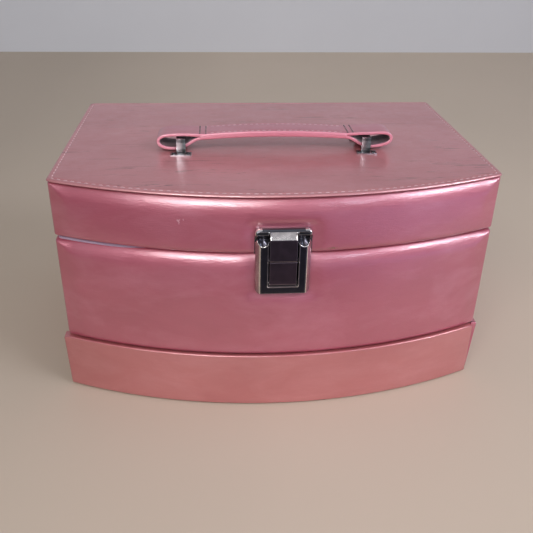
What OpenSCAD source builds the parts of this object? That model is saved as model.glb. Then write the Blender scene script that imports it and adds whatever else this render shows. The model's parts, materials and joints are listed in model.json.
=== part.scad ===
// Bow-fronted makeup train case: hinged lid with mirror and strap handle,
// a tray that rises as the lid opens, a lower compartment and a bottom drawer.
// Millimetres. Origin: bottom centre of the case. Front is -Y, up is +Z.
// The plan is a rectangle whose front edge is one circular arc.

/* [Case] */
// Width of the lid's cover panel, the nominal width of the case
case_w = 300; // [290:1:330]
// Depth of the straight sides, from the front corners to the back
case_d = 175; // [170:1:200]
// How far the curved front stands forward of the front corners
bow = 31; // [20:1:36]
// Height of the case without its handle
case_h = 162; // [160:1:175]
// Height of the line where lid and body part
part_z = 121; // [119:1:125]
// Height of the base, which holds the drawer
base_h = 42; // [38:1:44]
// How far the base stands out past the body on each side
base_over = 3; // [2:0.5:4]

/* [Boards and covering] */
// How far the lid's cover panel overhangs the walls
overhang = 1; // [0.5:0.5:2]
// Thickness of the covering stretched over the boards
skin = 0.8; // [0.5:0.1:1]
// Thickness of the wall boards
board = 3.2; // [3:0.2:3.6]
// Thickness of the soft pad on the curved front
pad = 6; // [4:0.5:7]
// Thickness of the velvet lining
lining = 0.8; // [0.5:0.1:1]
// Gap between the lid's edge and the body's edge
part_gap = 0.6; // [0.4:0.1:0.8]
// How far the boards' edges stop short, so the covering can turn over them
turn = 0.7; // [0.5:0.1:1]

/* [Drawer] */
// Thickness of the drawer's curved front
front_t = 8; // [6:0.5:9]
// How far the drawer front stands proud of the body
front_proud = 2; // [1:0.5:3]
// Height of the drawer box
drawer_h = 32; // [24:1:32]
// Running clearance at each side of the drawer box
drawer_gap = 1.4; // [1:0.2:2]

/* [Rising tray] */
// Height of the tray
tray_h = 37; // [30:1:38]
// Thickness of the tray's walls and floor
tray_t = 2.4; // [2:0.2:3]
// Pivot-to-pivot length of the arms and of the lid brackets' levers
arm_len = 60; // [56:1:60]
// Angle of the arms below level when the lid is shut
arm_tilt = 20; // [18:1:22]

/* [Mirror] */
// Width of the mirror glass
mirror_w = 200; // [150:5:220]
// Depth of the mirror glass
mirror_d = 112; // [90:2:116]

/* [Latch] */
// Width of the latch plate
latch_w = 36.6; // [34:0.2:38]
// Height of the latch's lower edge
latch_z0 = 93.5; // [92:0.5:94]
// Height of the latch plate's upper edge
latch_z1 = 140; // [139.5:0.5:141]
// Width of the tongue and the release button
tongue_w = 17.6; // [16:0.2:18]
// How far the latch shell stands off the pad
latch_proud = 6; // [5.8:0.1:6.4]

/* [Handle] */
// Distance from centre to centre of the two staples
staple_span = 131.6; // [128:0.4:134]
// Width of the strap
strap_w = 20; // [16:1:21]
// How far the strap's centre line is in front of the middle of the sides
strap_y = 31; // [25:1:35]
// Height of the staples' bars above the lid
staple_h = 10.8; // [10:0.2:10.8]

/* [Hidden] */

// Front arc and outer limits
half_w = case_w / 2;
back_y = case_d / 2;
arc_r = (case_w * case_w / 4 + bow * bow) / (2 * bow);
arc_y = arc_r - back_y - bow;
face_y = -(back_y + bow - overhang);         // front of the pads at the middle
board_y = face_y + pad + board;              // back of the front boards at the middle

// Insets from the cover panel's outline
board_inset = overhang + skin;               // outside of the side and back boards
wall_inset = board_inset + board;            // inside of the side and back boards
pad_inset = overhang + pad;                  // back of the pad
front_inset = pad_inset + board;             // inside of the front boards
wall_x = half_w - wall_inset;

// Levels
body_top = part_z - part_gap / 2;
lid_bottom = part_z + part_gap / 2;
cover_t = 3.4;
groove = 1.2;
lid_wall_top = case_h - cover_t - groove;
panel_z = case_h - 1.6;                      // underside of the cover panel's thin edge
lid_ceiling = lid_wall_top - board;
lid_lining_z = lid_ceiling - lining;
floor_top = base_h + board;

// Rivets and screws
shank_r = 1.48;
hole_r = 1.5;
board_hole_r = 1.52;
tail_r = 2.8;                                // latch rivets' inner ends
tail_hole_r = 3.4;                           // openings in the lining round those ends

pink = [0.74, 0.42, 0.48];
pink_dark = [0.66, 0.36, 0.42];
lilac = [0.84, 0.74, 0.82];
mauve = [0.80, 0.66, 0.76];
gunmetal = [0.22, 0.20, 0.23];
steel = [0.72, 0.73, 0.75];
board_color = [0.62, 0.50, 0.38];
glass_color = [0.8, 0.85, 0.88];

// ---------- shared shapes ----------
function moved(points, offset) = [for (p = points) p + offset];
// Left half of an outline, followed by its mirror image in reverse order
function mirrored(points) =
  concat(points, [for (i = [len(points) - 1:-1:0]) [-points[i][0], points[i][1]]]);

module front_disc(inset) {
  translate([0, arc_y]) circle(r = arc_r - inset, $fn = 240);
}
// Plan outline with its sides, curved front and back set in
module plan(side, front, back) {
  intersection() {
    front_disc(front);
    translate([-(half_w - side), -(case_d + bow)])
      square([case_w - 2 * side, case_d + bow + back_y - back]);
  }
}
module inner_plan(gap) {
  plan(wall_inset + gap, front_inset + gap, wall_inset + gap);
}
// Curved band between two front insets, cut off at the sides
module front_band(side, outer, inner) {
  difference() {
    plan(side, outer, back_y);
    front_disc(inner);
  }
}
// The two side strips of a plan, outside +-inner_x
module side_strips(side, front, back, inner_x) {
  difference() {
    plan(side, front, back);
    translate([-inner_x, -250]) square([2 * inner_x, 500]);
  }
}
module slab(z0, z1) { translate([0, 0, z0]) linear_extrude(z1 - z0) children(); }
module both() {
  children();
  mirror([1, 0, 0]) children();
}
// Cylinder along x through a [y, z] point
module rod_x(x0, x1, p, r) {
  translate([x0, p[0], p[1]]) rotate([0, 90, 0]) cylinder(h = x1 - x0, r = r, $fn = 48);
}
// Cylinder along y through an [x, z] point
module rod_y(y0, y1, p, r) {
  translate([p[0], y0, p[1]]) rotate([-90, 0, 0]) cylinder(h = y1 - y0, r = r, $fn = 48);
}
// Cutters for a pair of holes: through the curved front, and into the sides
module drill_front(p, r, y0 = -200) { both() rod_y(y0, -80, p, r); }
module drill_sides(depth, p, r) { both() rod_x(half_w - depth, half_w, p, r); }
// [y, z] points extruded along x
module side_profile(x0, x1, points) {
  translate([x0, 0, 0]) rotate([90, 0, 90]) linear_extrude(x1 - x0) polygon(points);
}
// [x, z] points extruded forward from y
module front_profile(y, length, points) {
  translate([0, y, 0]) rotate([90, 0, 0]) linear_extrude(length) polygon(points);
}

// Walls shared by body and lid
module wall_sides(z0, z1) { slab(z0, z1) side_strips(board_inset, pad_inset, wall_inset, wall_x); }
module wall_back(z0, z1) {
  slab(z0, z1) translate([-(half_w - board_inset), back_y - wall_inset])
    square([case_w - 2 * board_inset, board]);
}
module wall_front(z0, z1, rivet) {
  difference() {
    slab(z0, z1) front_band(wall_inset, pad_inset, front_inset);
    drill_front(rivet, board_hole_r);
  }
}
module wall_pad(z0, z1, rivet) {
  difference() {
    slab(z0, z1) front_band(overhang, overhang, pad_inset);
    drill_front(rivet, board_hole_r);
  }
}
module wall_wrap(z0, z1) {
  difference() {
    slab(z0, z1) plan(overhang, pad_inset, overhang);
    slab(z0 - 1, z1 + 1) plan(board_inset, -50, board_inset);
  }
}

// ---------- base ----------
base_inset = overhang - base_over;
base_inner_x = half_w - base_inset - 5;      // inside of the side boards
base_front = front_t + 0.6;                  // front inset, behind the drawer front
base_cover_t = 0.8;
base_board_top = 3.8;
base_top = base_h - 0.2;
drawer_front_x = half_w - 2.5;               // right end of the drawer front

// The base's sides lean in slightly towards the table
module base_taper(inset = 0) {
  front_profile(200, 400, mirrored([
    [-(half_w - base_inset) + inset, base_h + 1],
    [-(half_w - 0.6) + inset, -1]]));
}
module base_board_taper() { base_taper(skin + 0.1); }
module base_underside_cover() { color(pink_dark) intersection() {
  slab(0, base_cover_t) plan(base_inset, base_front, 0);
  base_taper(0.2);
} }
module base_bottom_board() { color(board_color) intersection() {
  slab(base_cover_t, base_board_top) plan(base_inset + skin, base_front, skin);
  base_board_taper();
} }
module base_side_boards() { color(board_color) intersection() {
  slab(base_board_top, base_top)
    side_strips(base_inset + skin, base_front, skin + board, base_inner_x);
  base_board_taper();
} }
module base_back_board() { color(board_color) intersection() {
  slab(base_board_top, base_top)
    translate([-case_w, back_y - skin - board]) square([2 * case_w, board]);
  base_board_taper();
} }
module base_wrap() { color(pink) {
  difference() {
    intersection() {
      slab(base_cover_t, base_top) plan(base_inset, base_front, 0);
      base_taper();
    }
    intersection() {
      slab(0, base_h) plan(base_inset + skin, front_t, skin);
      base_board_taper();
    }
  }
  // covered end of the right-hand wall, beside the drawer front
  intersection() {
    slab(base_cover_t, base_top) difference() {
      translate([drawer_front_x + 0.5, -200]) square([20, 200]);
      front_disc(base_front);
      difference() {
        translate([0, -200]) square([300, 400]);
        front_disc(1);
      }
    }
    base_taper();
  }
} }

// ---------- pivots and hinge line, as [y, z] ----------
hinge_y = back_y - overhang + 2.4;
hinge_line = [hinge_y, part_z];
arm_step = [-arm_len * cos(arm_tilt), -arm_len * sin(arm_tilt)];
body_pivot = hinge_line + [-84, -10];        // arm on the body
lever_pivot = hinge_line + arm_step;         // lid bracket on the tray
arm_pivot = body_pivot + arm_step;           // arm on the tray
tray_pivots = [lever_pivot, arm_pivot];
pivot_r = 2.0;
run = 0.05;                                  // running clearance round pivots and hinge pins

// Latch rivets, as [x, z]
lower_rivet = [5.5, latch_z0 + 3.4];
upper_rivet = [14.2, latch_z1 - 4.6];

// ---------- body ----------
body_lining_top = body_top - 12;
pivot_hole_r = 5;

module compartment_floor() { color(board_color)
  slab(base_h, floor_top) plan(board_inset, pad_inset, board_inset);
}
module body_side_boards() { color(board_color) difference() {
  wall_sides(floor_top, body_top - turn);
  drill_sides(10, body_pivot, pivot_r + 0.02);
} }
module body_back_board() { color(board_color) wall_back(floor_top, body_top - turn); }
module body_front_board() { color(board_color)
  wall_front(floor_top, body_top - turn, lower_rivet);
}
module body_front_pad() { color(pink) wall_pad(base_h + 0.4, body_top, lower_rivet); }
module body_wrap() { color(pink) wall_wrap(base_h, body_top); }
module body_lining() { color(lilac) difference() {
  slab(floor_top, body_lining_top) inner_plan(0);
  slab(floor_top + lining, body_top) inner_plan(lining);
  drill_sides(10, body_pivot, pivot_hole_r);
  drill_front(lower_rivet, tail_hole_r, -130);
} }
// Thin rim inside the walls that stands up past the parting line
module inner_lip() { color(lilac) difference() {
  slab(body_lining_top + 0.1, part_z + 4) inner_plan(0.3);
  slab(0, 200) inner_plan(1.5);
  drill_sides(12, body_pivot, pivot_hole_r);
} }

// ---------- hinges ----------
hinge_x = 88;
hinge_r = 2.2;
pin_r = 0.95;
leaf_l = 40;
leaf_h = 20;
leaf_t = 1;
leaf_y = back_y - overhang;
leaf_gap = 2.8;                              // from the hinge line to the leaf's plain edge
knuckle_l = 8;
knuckle_gap = 0.15;
screw_x = [-14, 0, 14];
screw_dz = 12;                               // screws' distance from the hinge line

// One leaf: plate from plate_z up, and knuckles joined by tabs from tab_z up
module hinge_leaf(knuckles, plate_z, tab_z, screw_z) {
  both() translate([hinge_x, 0, 0]) difference() {
    union() {
      translate([-leaf_l / 2, leaf_y, plate_z]) cube([leaf_l, leaf_t, leaf_h - leaf_gap]);
      for (i = knuckles) {
        x = -leaf_l / 2 + i * knuckle_l + knuckle_gap;
        length = knuckle_l - 2 * knuckle_gap;
        rod_x(x, x + length, hinge_line, hinge_r);
        translate([x, leaf_y, tab_z]) cube([length, leaf_t, 3]);
      }
    }
    rod_x(-leaf_l, leaf_l, hinge_line, pin_r + run);
    for (x = screw_x) rod_y(back_y - 3, back_y + 3, [x, screw_z], hole_r);
  }
}
module hinge_body_leaves() { color(steel)
  hinge_leaf([0, 2, 4], part_z - leaf_h, part_z - 3, part_z - screw_dz);
}
module hinge_lid_leaves() { color(steel)
  hinge_leaf([1, 3], part_z + leaf_gap, part_z, part_z + screw_dz);
}
module hinge_pins() { color(steel) both() {
  left = hinge_x - leaf_l / 2;
  right = hinge_x + leaf_l / 2;
  rod_x(left - 0.6, right + 0.6, hinge_line, pin_r);
  rod_x(left - 1.4, left - 0.3, hinge_line, 1.6);
  rod_x(right + 0.3, right + 1.4, hinge_line, 1.6);
} }
// Cross-slotted screws, heads to the back
module hinge_screws(z) {
  slot_w = 0.6;
  slot_l = 3;
  both() translate([hinge_x, 0, 0]) for (x = screw_x)
    translate([x, leaf_y, z]) rotate([-90, 0, 0]) difference() {
      union() {
        cylinder(h = leaf_t + 0.1, r = shank_r, $fn = 32);
        translate([0, 0, leaf_t]) cylinder(h = 0.9, r1 = 2.6, r2 = 1.7, $fn = 32);
      }
      translate([-slot_w / 2, -slot_l / 2, leaf_t + 0.5]) cube([slot_w, slot_l, 1]);
      translate([-slot_l / 2, -slot_w / 2, leaf_t + 0.5]) cube([slot_l, slot_w, 1]);
    }
}
module hinge_body_screws() { color(steel) hinge_screws(part_z - screw_dz); }
module hinge_lid_screws() { color(steel) hinge_screws(part_z + screw_dz); }

// ---------- latch ----------
latch_half = latch_w / 2;
shell_y = face_y - latch_proud;              // front of the latch shell
shell_top = latch_z0 + 38.6;
tongue_axis = [face_y - 2.25, latch_z1 - 2.8];
split_z = latch_z0 + 23.4;                   // between button and tongue
slot_half = tongue_w / 2 + 0.5;              // half the width of the shell's channel
corner = 3;                                  // bevel of the lid plate's upper corners

// [y, z] section of the lid plate's raised bar, from the pad's face and the plate's top
plate_bar = [[-0.1, 0], [-2.6, -0.3], [-3.7, -1.4], [-3.7, -4], [-0.9, -8.2], [-0.1, -8.2]];

// Stamped shell on the body: bevelled sides, open top with two scoops, central channel
module latch_shell() { color(gunmetal) difference() {
  union() {
    difference() {
      intersection() {
        slab(latch_z0 - 0.5, latch_z0 + 39) polygon(mirrored([
          [-latch_half + 0.4, face_y - 0.1],
          [-latch_half + 0.9, face_y - 1.6],
          [-14.6, shell_y]]));
        side_profile(-30, 30, [
          [face_y - 0.1, latch_z0 - 0.2], [shell_y + 1.2, latch_z0],
          [shell_y, latch_z0 + 1.2], [shell_y, shell_top], [face_y - 0.1, shell_top]]);
      }
      // hollow behind the face
      slab(latch_z0 + 1.4, latch_z0 + 50) polygon(mirrored([
        [-latch_half + 1.6, face_y + 1],
        [-latch_half + 2.1, face_y - 1.4],
        [-13.9, shell_y + 1]]));
      // window for tongue and button
      translate([-slot_half, shell_y - 1, latch_z0 + 6]) cube([2 * slot_half, 3, 60]);
    }
    // channel sides, floor behind the tongue, and the ledge under the button
    both() translate([slot_half, shell_y + 0.2, latch_z0 + 5]) cube([0.8, 3.2, 31]);
    translate([-slot_half - 0.4, shell_y + 2.4, split_z + 0.6])
      cube([2 * slot_half + 0.8, 0.7, latch_z0 + 36 - split_z - 0.6]);
    translate([-slot_half - 0.4, shell_y + 0.2, latch_z0 + 5])
      cube([2 * slot_half + 0.8, 3.2, 1]);
    // foot flange riveted to the body
    translate([-latch_half + 2.3, face_y - 1.1, latch_z0 + 1.2])
      cube([2 * latch_half - 4.6, 1, 4.6]);
    both() translate([latch_half - 6.3, face_y - 1.1, latch_z0 + 1.2]) cube([4, 1, 22]);
  }
  // scoops either side of the tongue
  both() rod_y(shell_y - 1, shell_y + 3, [13.1, latch_z0 + 39.4], 3.2);
  // room for the lid's plate behind the upper part
  translate([-30, face_y - 1.7, body_top - 0.6]) cube([60, 5, 40]);
  drill_front(lower_rivet, hole_r, face_y - 1.2);
} }
module latch_lower_rivets() { color(steel) both() {
  rod_y(face_y - 1.1, board_y + lining + 0.4, lower_rivet, shank_r);
  rod_y(face_y - 1.9, face_y - 1.12, lower_rivet, 1.9);
  rod_y(board_y + 0.15, board_y + 1.2, lower_rivet, tail_r);
} }
// Spring behind the release button: three rings that narrow towards the front
module latch_spring() { color(steel)
  for (k = [0, 1, 2])
    translate([0, face_y - 0.35 - k * 0.48, split_z - 9.4]) rotate([90, 0, 0])
      rotate_extrude($fn = 48) translate([3.4 - 0.5 * k, 0]) circle(r = 0.22, $fn = 16);
}
module latch_button() { color(gunmetal)
  translate([-tongue_w / 2, shell_y + 0.5, latch_z0 + 6.3])
    cube([tongue_w, 2.2, split_z - latch_z0 - 6.6]);
}
module plate_outline() {
  front_profile(0, 200, mirrored([
    [-latch_half + corner, latch_z1], [-latch_half, latch_z1 - corner], [-latch_half, 0]]));
}
// Lid plate: thin rim plate with a raised bar at the top that hides the tongue's pin
module latch_plate() { color(gunmetal) difference() {
  union() {
    intersection() {
      translate([-latch_half, face_y - 0.8, lid_bottom + 0.5])
        cube([2 * latch_half, 0.75, latch_z1 - lid_bottom - 0.5]);
      plate_outline();
    }
    intersection() {
      side_profile(-latch_half, latch_half, moved(plate_bar, [face_y, latch_z1]));
      plate_outline();
    }
  }
  // mouth of the tongue
  translate([-slot_half + 0.2, face_y - 10, lid_bottom])
    cube([2 * slot_half - 0.4, 9.1, latch_z1 - 1 - lid_bottom]);
  rod_x(-13, 13, tongue_axis, 0.72);
  drill_front(upper_rivet, hole_r);
} }
module latch_pin() { color(steel) rod_x(-12.9, 12.9, tongue_axis, 0.70); }
module latch_upper_rivets() { color(steel) both() {
  rod_y(face_y - 0.5, board_y + 0.9, upper_rivet, shank_r);
  rod_y(board_y + 0.75, board_y + 1.7, upper_rivet, tail_r);
} }
// Tongue that hangs from the pin
module latch_hasp() { color(gunmetal) difference() {
  union() {
    side_profile(-tongue_w / 2, tongue_w / 2, [
      tongue_axis + [-1.0, 0.5], [shell_y + 0.5, latch_z1 - 9.5],
      [shell_y + 0.5, split_z + 0.2], [shell_y + 1.7, split_z + 0.2],
      [shell_y + 1.7, latch_z1 - 9.3], tongue_axis + [0.3, -1.0]]);
    rod_x(-tongue_w / 2, tongue_w / 2, tongue_axis, 1.3);
  }
  rod_x(-30, 30, tongue_axis, 0.76);
} }

// ---------- lid ----------
module lid_side_boards() { color(board_color) wall_sides(lid_bottom + turn, lid_ceiling); }
module lid_back_board() { color(board_color) wall_back(lid_bottom + turn, lid_ceiling); }
module lid_front_board() { color(board_color)
  wall_front(lid_bottom + turn, lid_ceiling, upper_rivet);
}
module lid_top_board() { color(board_color)
  slab(lid_ceiling, lid_wall_top) plan(board_inset, pad_inset, board_inset);
}
module lid_front_pad() { color(pink) wall_pad(lid_bottom, panel_z - 0.1, upper_rivet); }
module lid_wrap() { color(pink) difference() {
  slab(lid_bottom, panel_z - 0.1) plan(overhang, pad_inset, overhang);
  slab(lid_bottom - 1, panel_z + 1) plan(board_inset, -50, board_inset);
} }
module lid_cover_panel() { color(pink) {
  slab(lid_wall_top, panel_z + 0.1) plan(board_inset + 0.1, pad_inset + 0.1, board_inset + 0.1);
  slab(panel_z, case_h) plan(0, 0, 0);
} }
module lid_lining() { color(lilac) difference() {
  slab(part_z + 5.6, lid_ceiling) inner_plan(0);
  slab(part_z, lid_lining_z) inner_plan(lining);
  // clear of the brackets
  drill_sides(12, [lever_pivot[0], part_z + 16], 13.4);
  drill_front(upper_rivet, tail_hole_r, -130);
} }

// ---------- mirror ----------
mirror_y = -6;
mirror_t = 2.2;

// Rounded rectangle, larger than the glass by grow in width and depth
module mirror_outline(grow, r) {
  w = mirror_w + grow;
  d = mirror_d + grow;
  translate([0, mirror_y]) {
    translate([-w / 2 + r, -d / 2]) square([w - 2 * r, d]);
    translate([-w / 2, -d / 2 + r]) square([w, d - 2 * r]);
    for (i = [-1, 1], j = [-1, 1])
      translate([i * (w / 2 - r), j * (d / 2 - r)]) circle(r = r, $fn = 48);
  }
}
module mirror_glass() { color(glass_color)
  slab(lid_lining_z - mirror_t, lid_lining_z) mirror_outline(0, 6);
}
module mirror_frame() { color(pink_dark) difference() {
  slab(lid_lining_z - mirror_t - 1, lid_lining_z) mirror_outline(14, 11);
  slab(lid_lining_z - mirror_t - 0.05, lid_ceiling) mirror_outline(0.3, 6.1);
  slab(0, case_h) mirror_outline(-6, 4);
} }

// ---------- arms and lid brackets ----------
tray_side_inset = 10.5;
tray_x = half_w - tray_side_inset;           // outside of the tray's sides
arm_x0 = tray_x + 2.1;
arm_x1 = arm_x0 + 1.2;
arm_w = 11;
bracket_rivets = [for (dz = [11, 22]) [lever_pivot[0], part_z + dz]];

// Flat bar between two [y, z] points, with rounder eyes at its ends
module link(p, q) {
  step = q - p;
  translate([arm_x0, p[0], p[1]]) rotate([atan2(step[1], step[0]), 0, 0])
    translate([0, 0, -arm_w / 2 + 0.9]) cube([arm_x1 - arm_x0, norm(step), arm_w - 1.8]);
  for (end = [p, q]) rod_x(arm_x0, arm_x1, end, arm_w / 2);
}
// Brackets that hang from the lid's sides and drive the tray
module lid_brackets() { color(steel) both() difference() {
  union() {
    link(lever_pivot, bracket_rivets[1]);
    translate([arm_x1 - 0.1, lever_pivot[0] - arm_w / 2, part_z + 7])
      cube([wall_x - arm_x1 + 0.1, arm_w, 20]);
  }
  rod_x(arm_x0 - 1, arm_x1 + 1, lever_pivot, pivot_r + 0.3);
  for (p = bracket_rivets) rod_x(arm_x0 - 1, half_w, p, hole_r);
} }
module lid_bracket_rivets() { color(steel) both() for (p = bracket_rivets) {
  rod_x(arm_x0 - 0.4, wall_x - 0.05, p, shank_r);
  rod_x(arm_x0 - 0.8, arm_x0, p, 2.6);
} }
module tray_arms() { color(steel) both() difference() {
  link(body_pivot, arm_pivot);
  for (p = [body_pivot, arm_pivot]) rod_x(arm_x0 - 1, arm_x1 + 1, p, pivot_r + run);
} }
module arm_pivot_rivets() { color(steel) both() {
  rod_x(arm_x0 - 0.6, half_w - board_inset - 0.05, body_pivot, pivot_r);
  rod_x(arm_x0 - 1.2, arm_x0 - 0.3, body_pivot, 3.4);
  rod_x(arm_x1 + 0.3, wall_x - 0.05, body_pivot, 3.6);
} }

// ---------- handle ----------
staple_w = 6.4;
staple_t = 1.4;
leg_y = strap_w / 2 + 1.2;                   // inside of the legs from the strap's middle
foot_w = 14.4;
foot_d = 6;
foot_t = 1;
grip_end = 51;

// Strap sections as [x, height above the lid]
grip_section = [
  [-grip_end + 1.5, 9.2], [-30, 10.4], [0, 11], [30, 10.4], [grip_end - 1.5, 9.2],
  [grip_end, 13], [30, 14.5], [0, 15.2], [-30, 14.5], [-grip_end, 13]];
loop_outside = [
  [grip_end - 1.2, 9.2], [57, 6], [63, 3], [72, 2], [79, 3.4], [82.4, 6.4],
  [83, 9.4], [81.4, 12], [77, 13.4], [64, 13.6], [grip_end + 0.3, 13]];
loop_inside = [
  [56, 9.6], [59, 7], [64, 4.8], [72, 3.8], [78, 5], [80.6, 7.2],
  [81.2, 9.2], [80, 10.6], [77.6, 11.4], [64, 11.5], [58, 11.2]];

module at_staples() {
  for (side = [-1, 1]) translate([side * staple_span / 2, -strap_y, 0]) children();
}
module at_foot_rivets() {
  for (side = [-1, 1], x = [-5, 5])
    translate([x, side * (leg_y + 3.5), case_h]) children();
}
module handle_staples() { color(steel) at_staples() difference() {
  union() {
    for (side = [-1, 1]) {
      translate([-staple_w / 2, side > 0 ? leg_y : -leg_y - staple_t, case_h])
        cube([staple_w, staple_t, staple_h]);
      translate([-foot_w / 2, side > 0 ? leg_y : -leg_y - foot_d, case_h])
        cube([foot_w, foot_d, foot_t]);
    }
    translate([-staple_w / 2, -leg_y - staple_t, case_h + staple_h - staple_t])
      cube([staple_w, 2 * (leg_y + staple_t), staple_t]);
  }
  at_foot_rivets() translate([0, 0, -1]) cylinder(h = 4, r = 1.1, $fn = 32);
} }
module staple_rivets() { color(steel) at_staples() at_foot_rivets() {
  cylinder(h = 1.1, r = 1.08, $fn = 32);
  translate([0, 0, foot_t]) cylinder(h = 0.7, r1 = 1.7, r2 = 1.1, $fn = 32);
} }
module strap(section) {
  front_profile(-strap_y + strap_w / 2, strap_w, moved(section, [0, case_h]));
}
module handle_grip() { color(pink) strap(grip_section); }
// Closed strap loop round the staple's bar; its inner end leans so it can slip under the grip
module strap_loop() {
  difference() {
    strap(loop_outside);
    front_profile(100, 200, moved(loop_inside, [0, case_h]));
  }
}
module handle_loop_right() { color(pink) strap_loop(); }
module handle_loop_left() { color(pink) mirror([1, 0, 0]) strap_loop(); }

// ---------- dividers and ring rolls ----------
divider_t = 2;
divider_drop = 5;                            // dividers' tops below the box's rim
roll_r = 6.6;
roll_pitch = 14;
last_roll_y = 6.5;

// A full-width divider with its front at y, cross dividers in front of it, one behind it
module dividers(y, cross_x, z) {
  translate([-150, y, z]) cube([300, divider_t, 60]);
  for (x = cross_x) translate([x - divider_t / 2, -150, z]) cube([divider_t, 150 + y, 60]);
  translate([-divider_t / 2, y + divider_t, z]) cube([divider_t, 100, 60]);
}
// Foam ring rolls, each with a flat underside at z
module ring_rolls(x0, x1, first_y, z) {
  for (y = [first_y:roll_pitch:last_roll_y]) difference() {
    rod_x(x0, x1, [y, z + roll_r * 0.55], roll_r);
    translate([x0 - 1, y - 2 * roll_r, z - 2 * roll_r])
      cube([x1 - x0 + 2, 4 * roll_r, 2 * roll_r]);
  }
}

// ---------- rising tray ----------
tray_top = part_z - 3;
tray_bottom = tray_top - tray_h;
tray_front_inset = front_inset + lining + 5.4;
tray_back_inset = back_y - (hinge_y - 12);
tray_lined_t = tray_t + lining;

module tray_plan(inset) {
  plan(tray_side_inset + inset, tray_front_inset + inset, tray_back_inset + inset);
}
module tray_box() { color(lilac) difference() {
  slab(tray_bottom, tray_top) tray_plan(0);
  slab(tray_bottom + tray_t, tray_top + 1) tray_plan(tray_t);
  both() for (p = tray_pivots) rod_x(tray_x - 5, tray_x + 1, p, hole_r);
} }
module tray_lining() { color(mauve) difference() {
  slab(tray_bottom + tray_t, tray_top - 1.5) tray_plan(tray_t);
  slab(tray_bottom + tray_lined_t, tray_top + 1) tray_plan(tray_lined_t);
  both() for (p = tray_pivots) rod_x(tray_x - 6, tray_x + 1, p, 2.6);
} }
module tray_dividers() { color(mauve) intersection() {
  slab(tray_bottom + tray_lined_t, tray_top - divider_drop) tray_plan(tray_lined_t);
  dividers(16, [-62, 62], tray_bottom);
} }
module tray_ring_rolls() { color(lilac)
  ring_rolls(64, tray_x - tray_lined_t - 0.6, -49.5, tray_bottom + tray_lined_t + 0.1);
}
// Stepped pins: shank in the tray wall, spacer collar, journal, and head inside the tray
module tray_pins() { color(steel) both() for (p = tray_pivots) {
  rod_x(tray_x - tray_t - 0.2, tray_x + 0.2, p, shank_r);
  rod_x(tray_x + 0.01, arm_x0 - 0.4, p, 3.4);
  rod_x(arm_x0 - 0.5, arm_x1 + 0.15, p, pivot_r);
  rod_x(tray_x - tray_lined_t - 0.5, tray_x - tray_t - 0.01, p, 2.5);
} }

// ---------- drawer ----------
drawer_x = base_inner_x - drawer_gap;        // outside of the drawer's sides
drawer_back = back_y - skin - board - 1.5;
drawer_bottom = 4.2;
drawer_top = drawer_bottom + drawer_h;
drawer_t = 3;
drawer_lined_t = drawer_t + lining;

module drawer_plan(inset, front) {
  intersection() {
    front_disc(front_t - front_proud + front);
    translate([-drawer_x + inset, -250])
      square([2 * (drawer_x - inset), 250 + drawer_back - inset]);
  }
}
module drawer_box() { color(board_color) difference() {
  slab(drawer_bottom, drawer_top) drawer_plan(0, 0.05);
  slab(drawer_bottom + drawer_t, 100) drawer_plan(drawer_t, drawer_t);
} }
module drawer_front() { color(pink) intersection() {
  slab(0.6, base_h - 0.8) difference() {
    front_disc(-front_proud);
    front_disc(front_t - front_proud);
  }
  front_profile(0, 300, [
    [-(half_w + 2.4), base_h], [-(half_w + 1), 0],
    [drawer_front_x, 0], [drawer_front_x, base_h]]);
} }
module drawer_lining() { color(mauve) difference() {
  slab(drawer_bottom + drawer_t, drawer_top - 1.2) drawer_plan(drawer_t, drawer_t);
  slab(drawer_bottom + drawer_lined_t, 100) drawer_plan(drawer_lined_t, drawer_lined_t);
} }
module drawer_dividers() { color(mauve) intersection() {
  slab(drawer_bottom + drawer_lined_t, drawer_top - divider_drop)
    drawer_plan(drawer_lined_t, drawer_lined_t);
  dividers(18, [-50, 52], 0);
} }
module drawer_ring_rolls() { color(lilac)
  ring_rolls(-48.6, 48.6, -77.5, drawer_bottom + drawer_lined_t + 0.1);
}

base_underside_cover();
base_bottom_board();
base_side_boards();
base_back_board();
base_wrap();
compartment_floor();
body_side_boards();
body_back_board();
body_front_board();
body_front_pad();
body_wrap();
body_lining();
inner_lip();
hinge_body_leaves();
hinge_pins();
hinge_body_screws();
latch_shell();
latch_lower_rivets();
latch_spring();
arm_pivot_rivets();
lid_side_boards();
lid_back_board();
lid_front_board();
lid_top_board();
lid_front_pad();
lid_wrap();
lid_cover_panel();
lid_lining();
mirror_glass();
mirror_frame();
hinge_lid_leaves();
hinge_lid_screws();
latch_plate();
latch_pin();
latch_upper_rivets();
lid_brackets();
lid_bracket_rivets();
handle_staples();
staple_rivets();
latch_hasp();
latch_button();
tray_arms();
tray_box();
tray_lining();
tray_dividers();
tray_ring_rolls();
tray_pins();
drawer_box();
drawer_front();
drawer_lining();
drawer_dividers();
drawer_ring_rolls();
handle_grip();
handle_loop_left();
handle_loop_right();
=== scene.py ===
# A pink jewellery case: a base with a drawer, a body with a rising tray, and a padded lid with a
# strap handle and a latch. x runs left to right, the bowed front faces -y and z is up. Geometry is
# worked out in millimetres and turned into metres as each mesh is made.
import json
import math
import bpy
import numpy as np
from mathutils import Vector, Matrix


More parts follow.
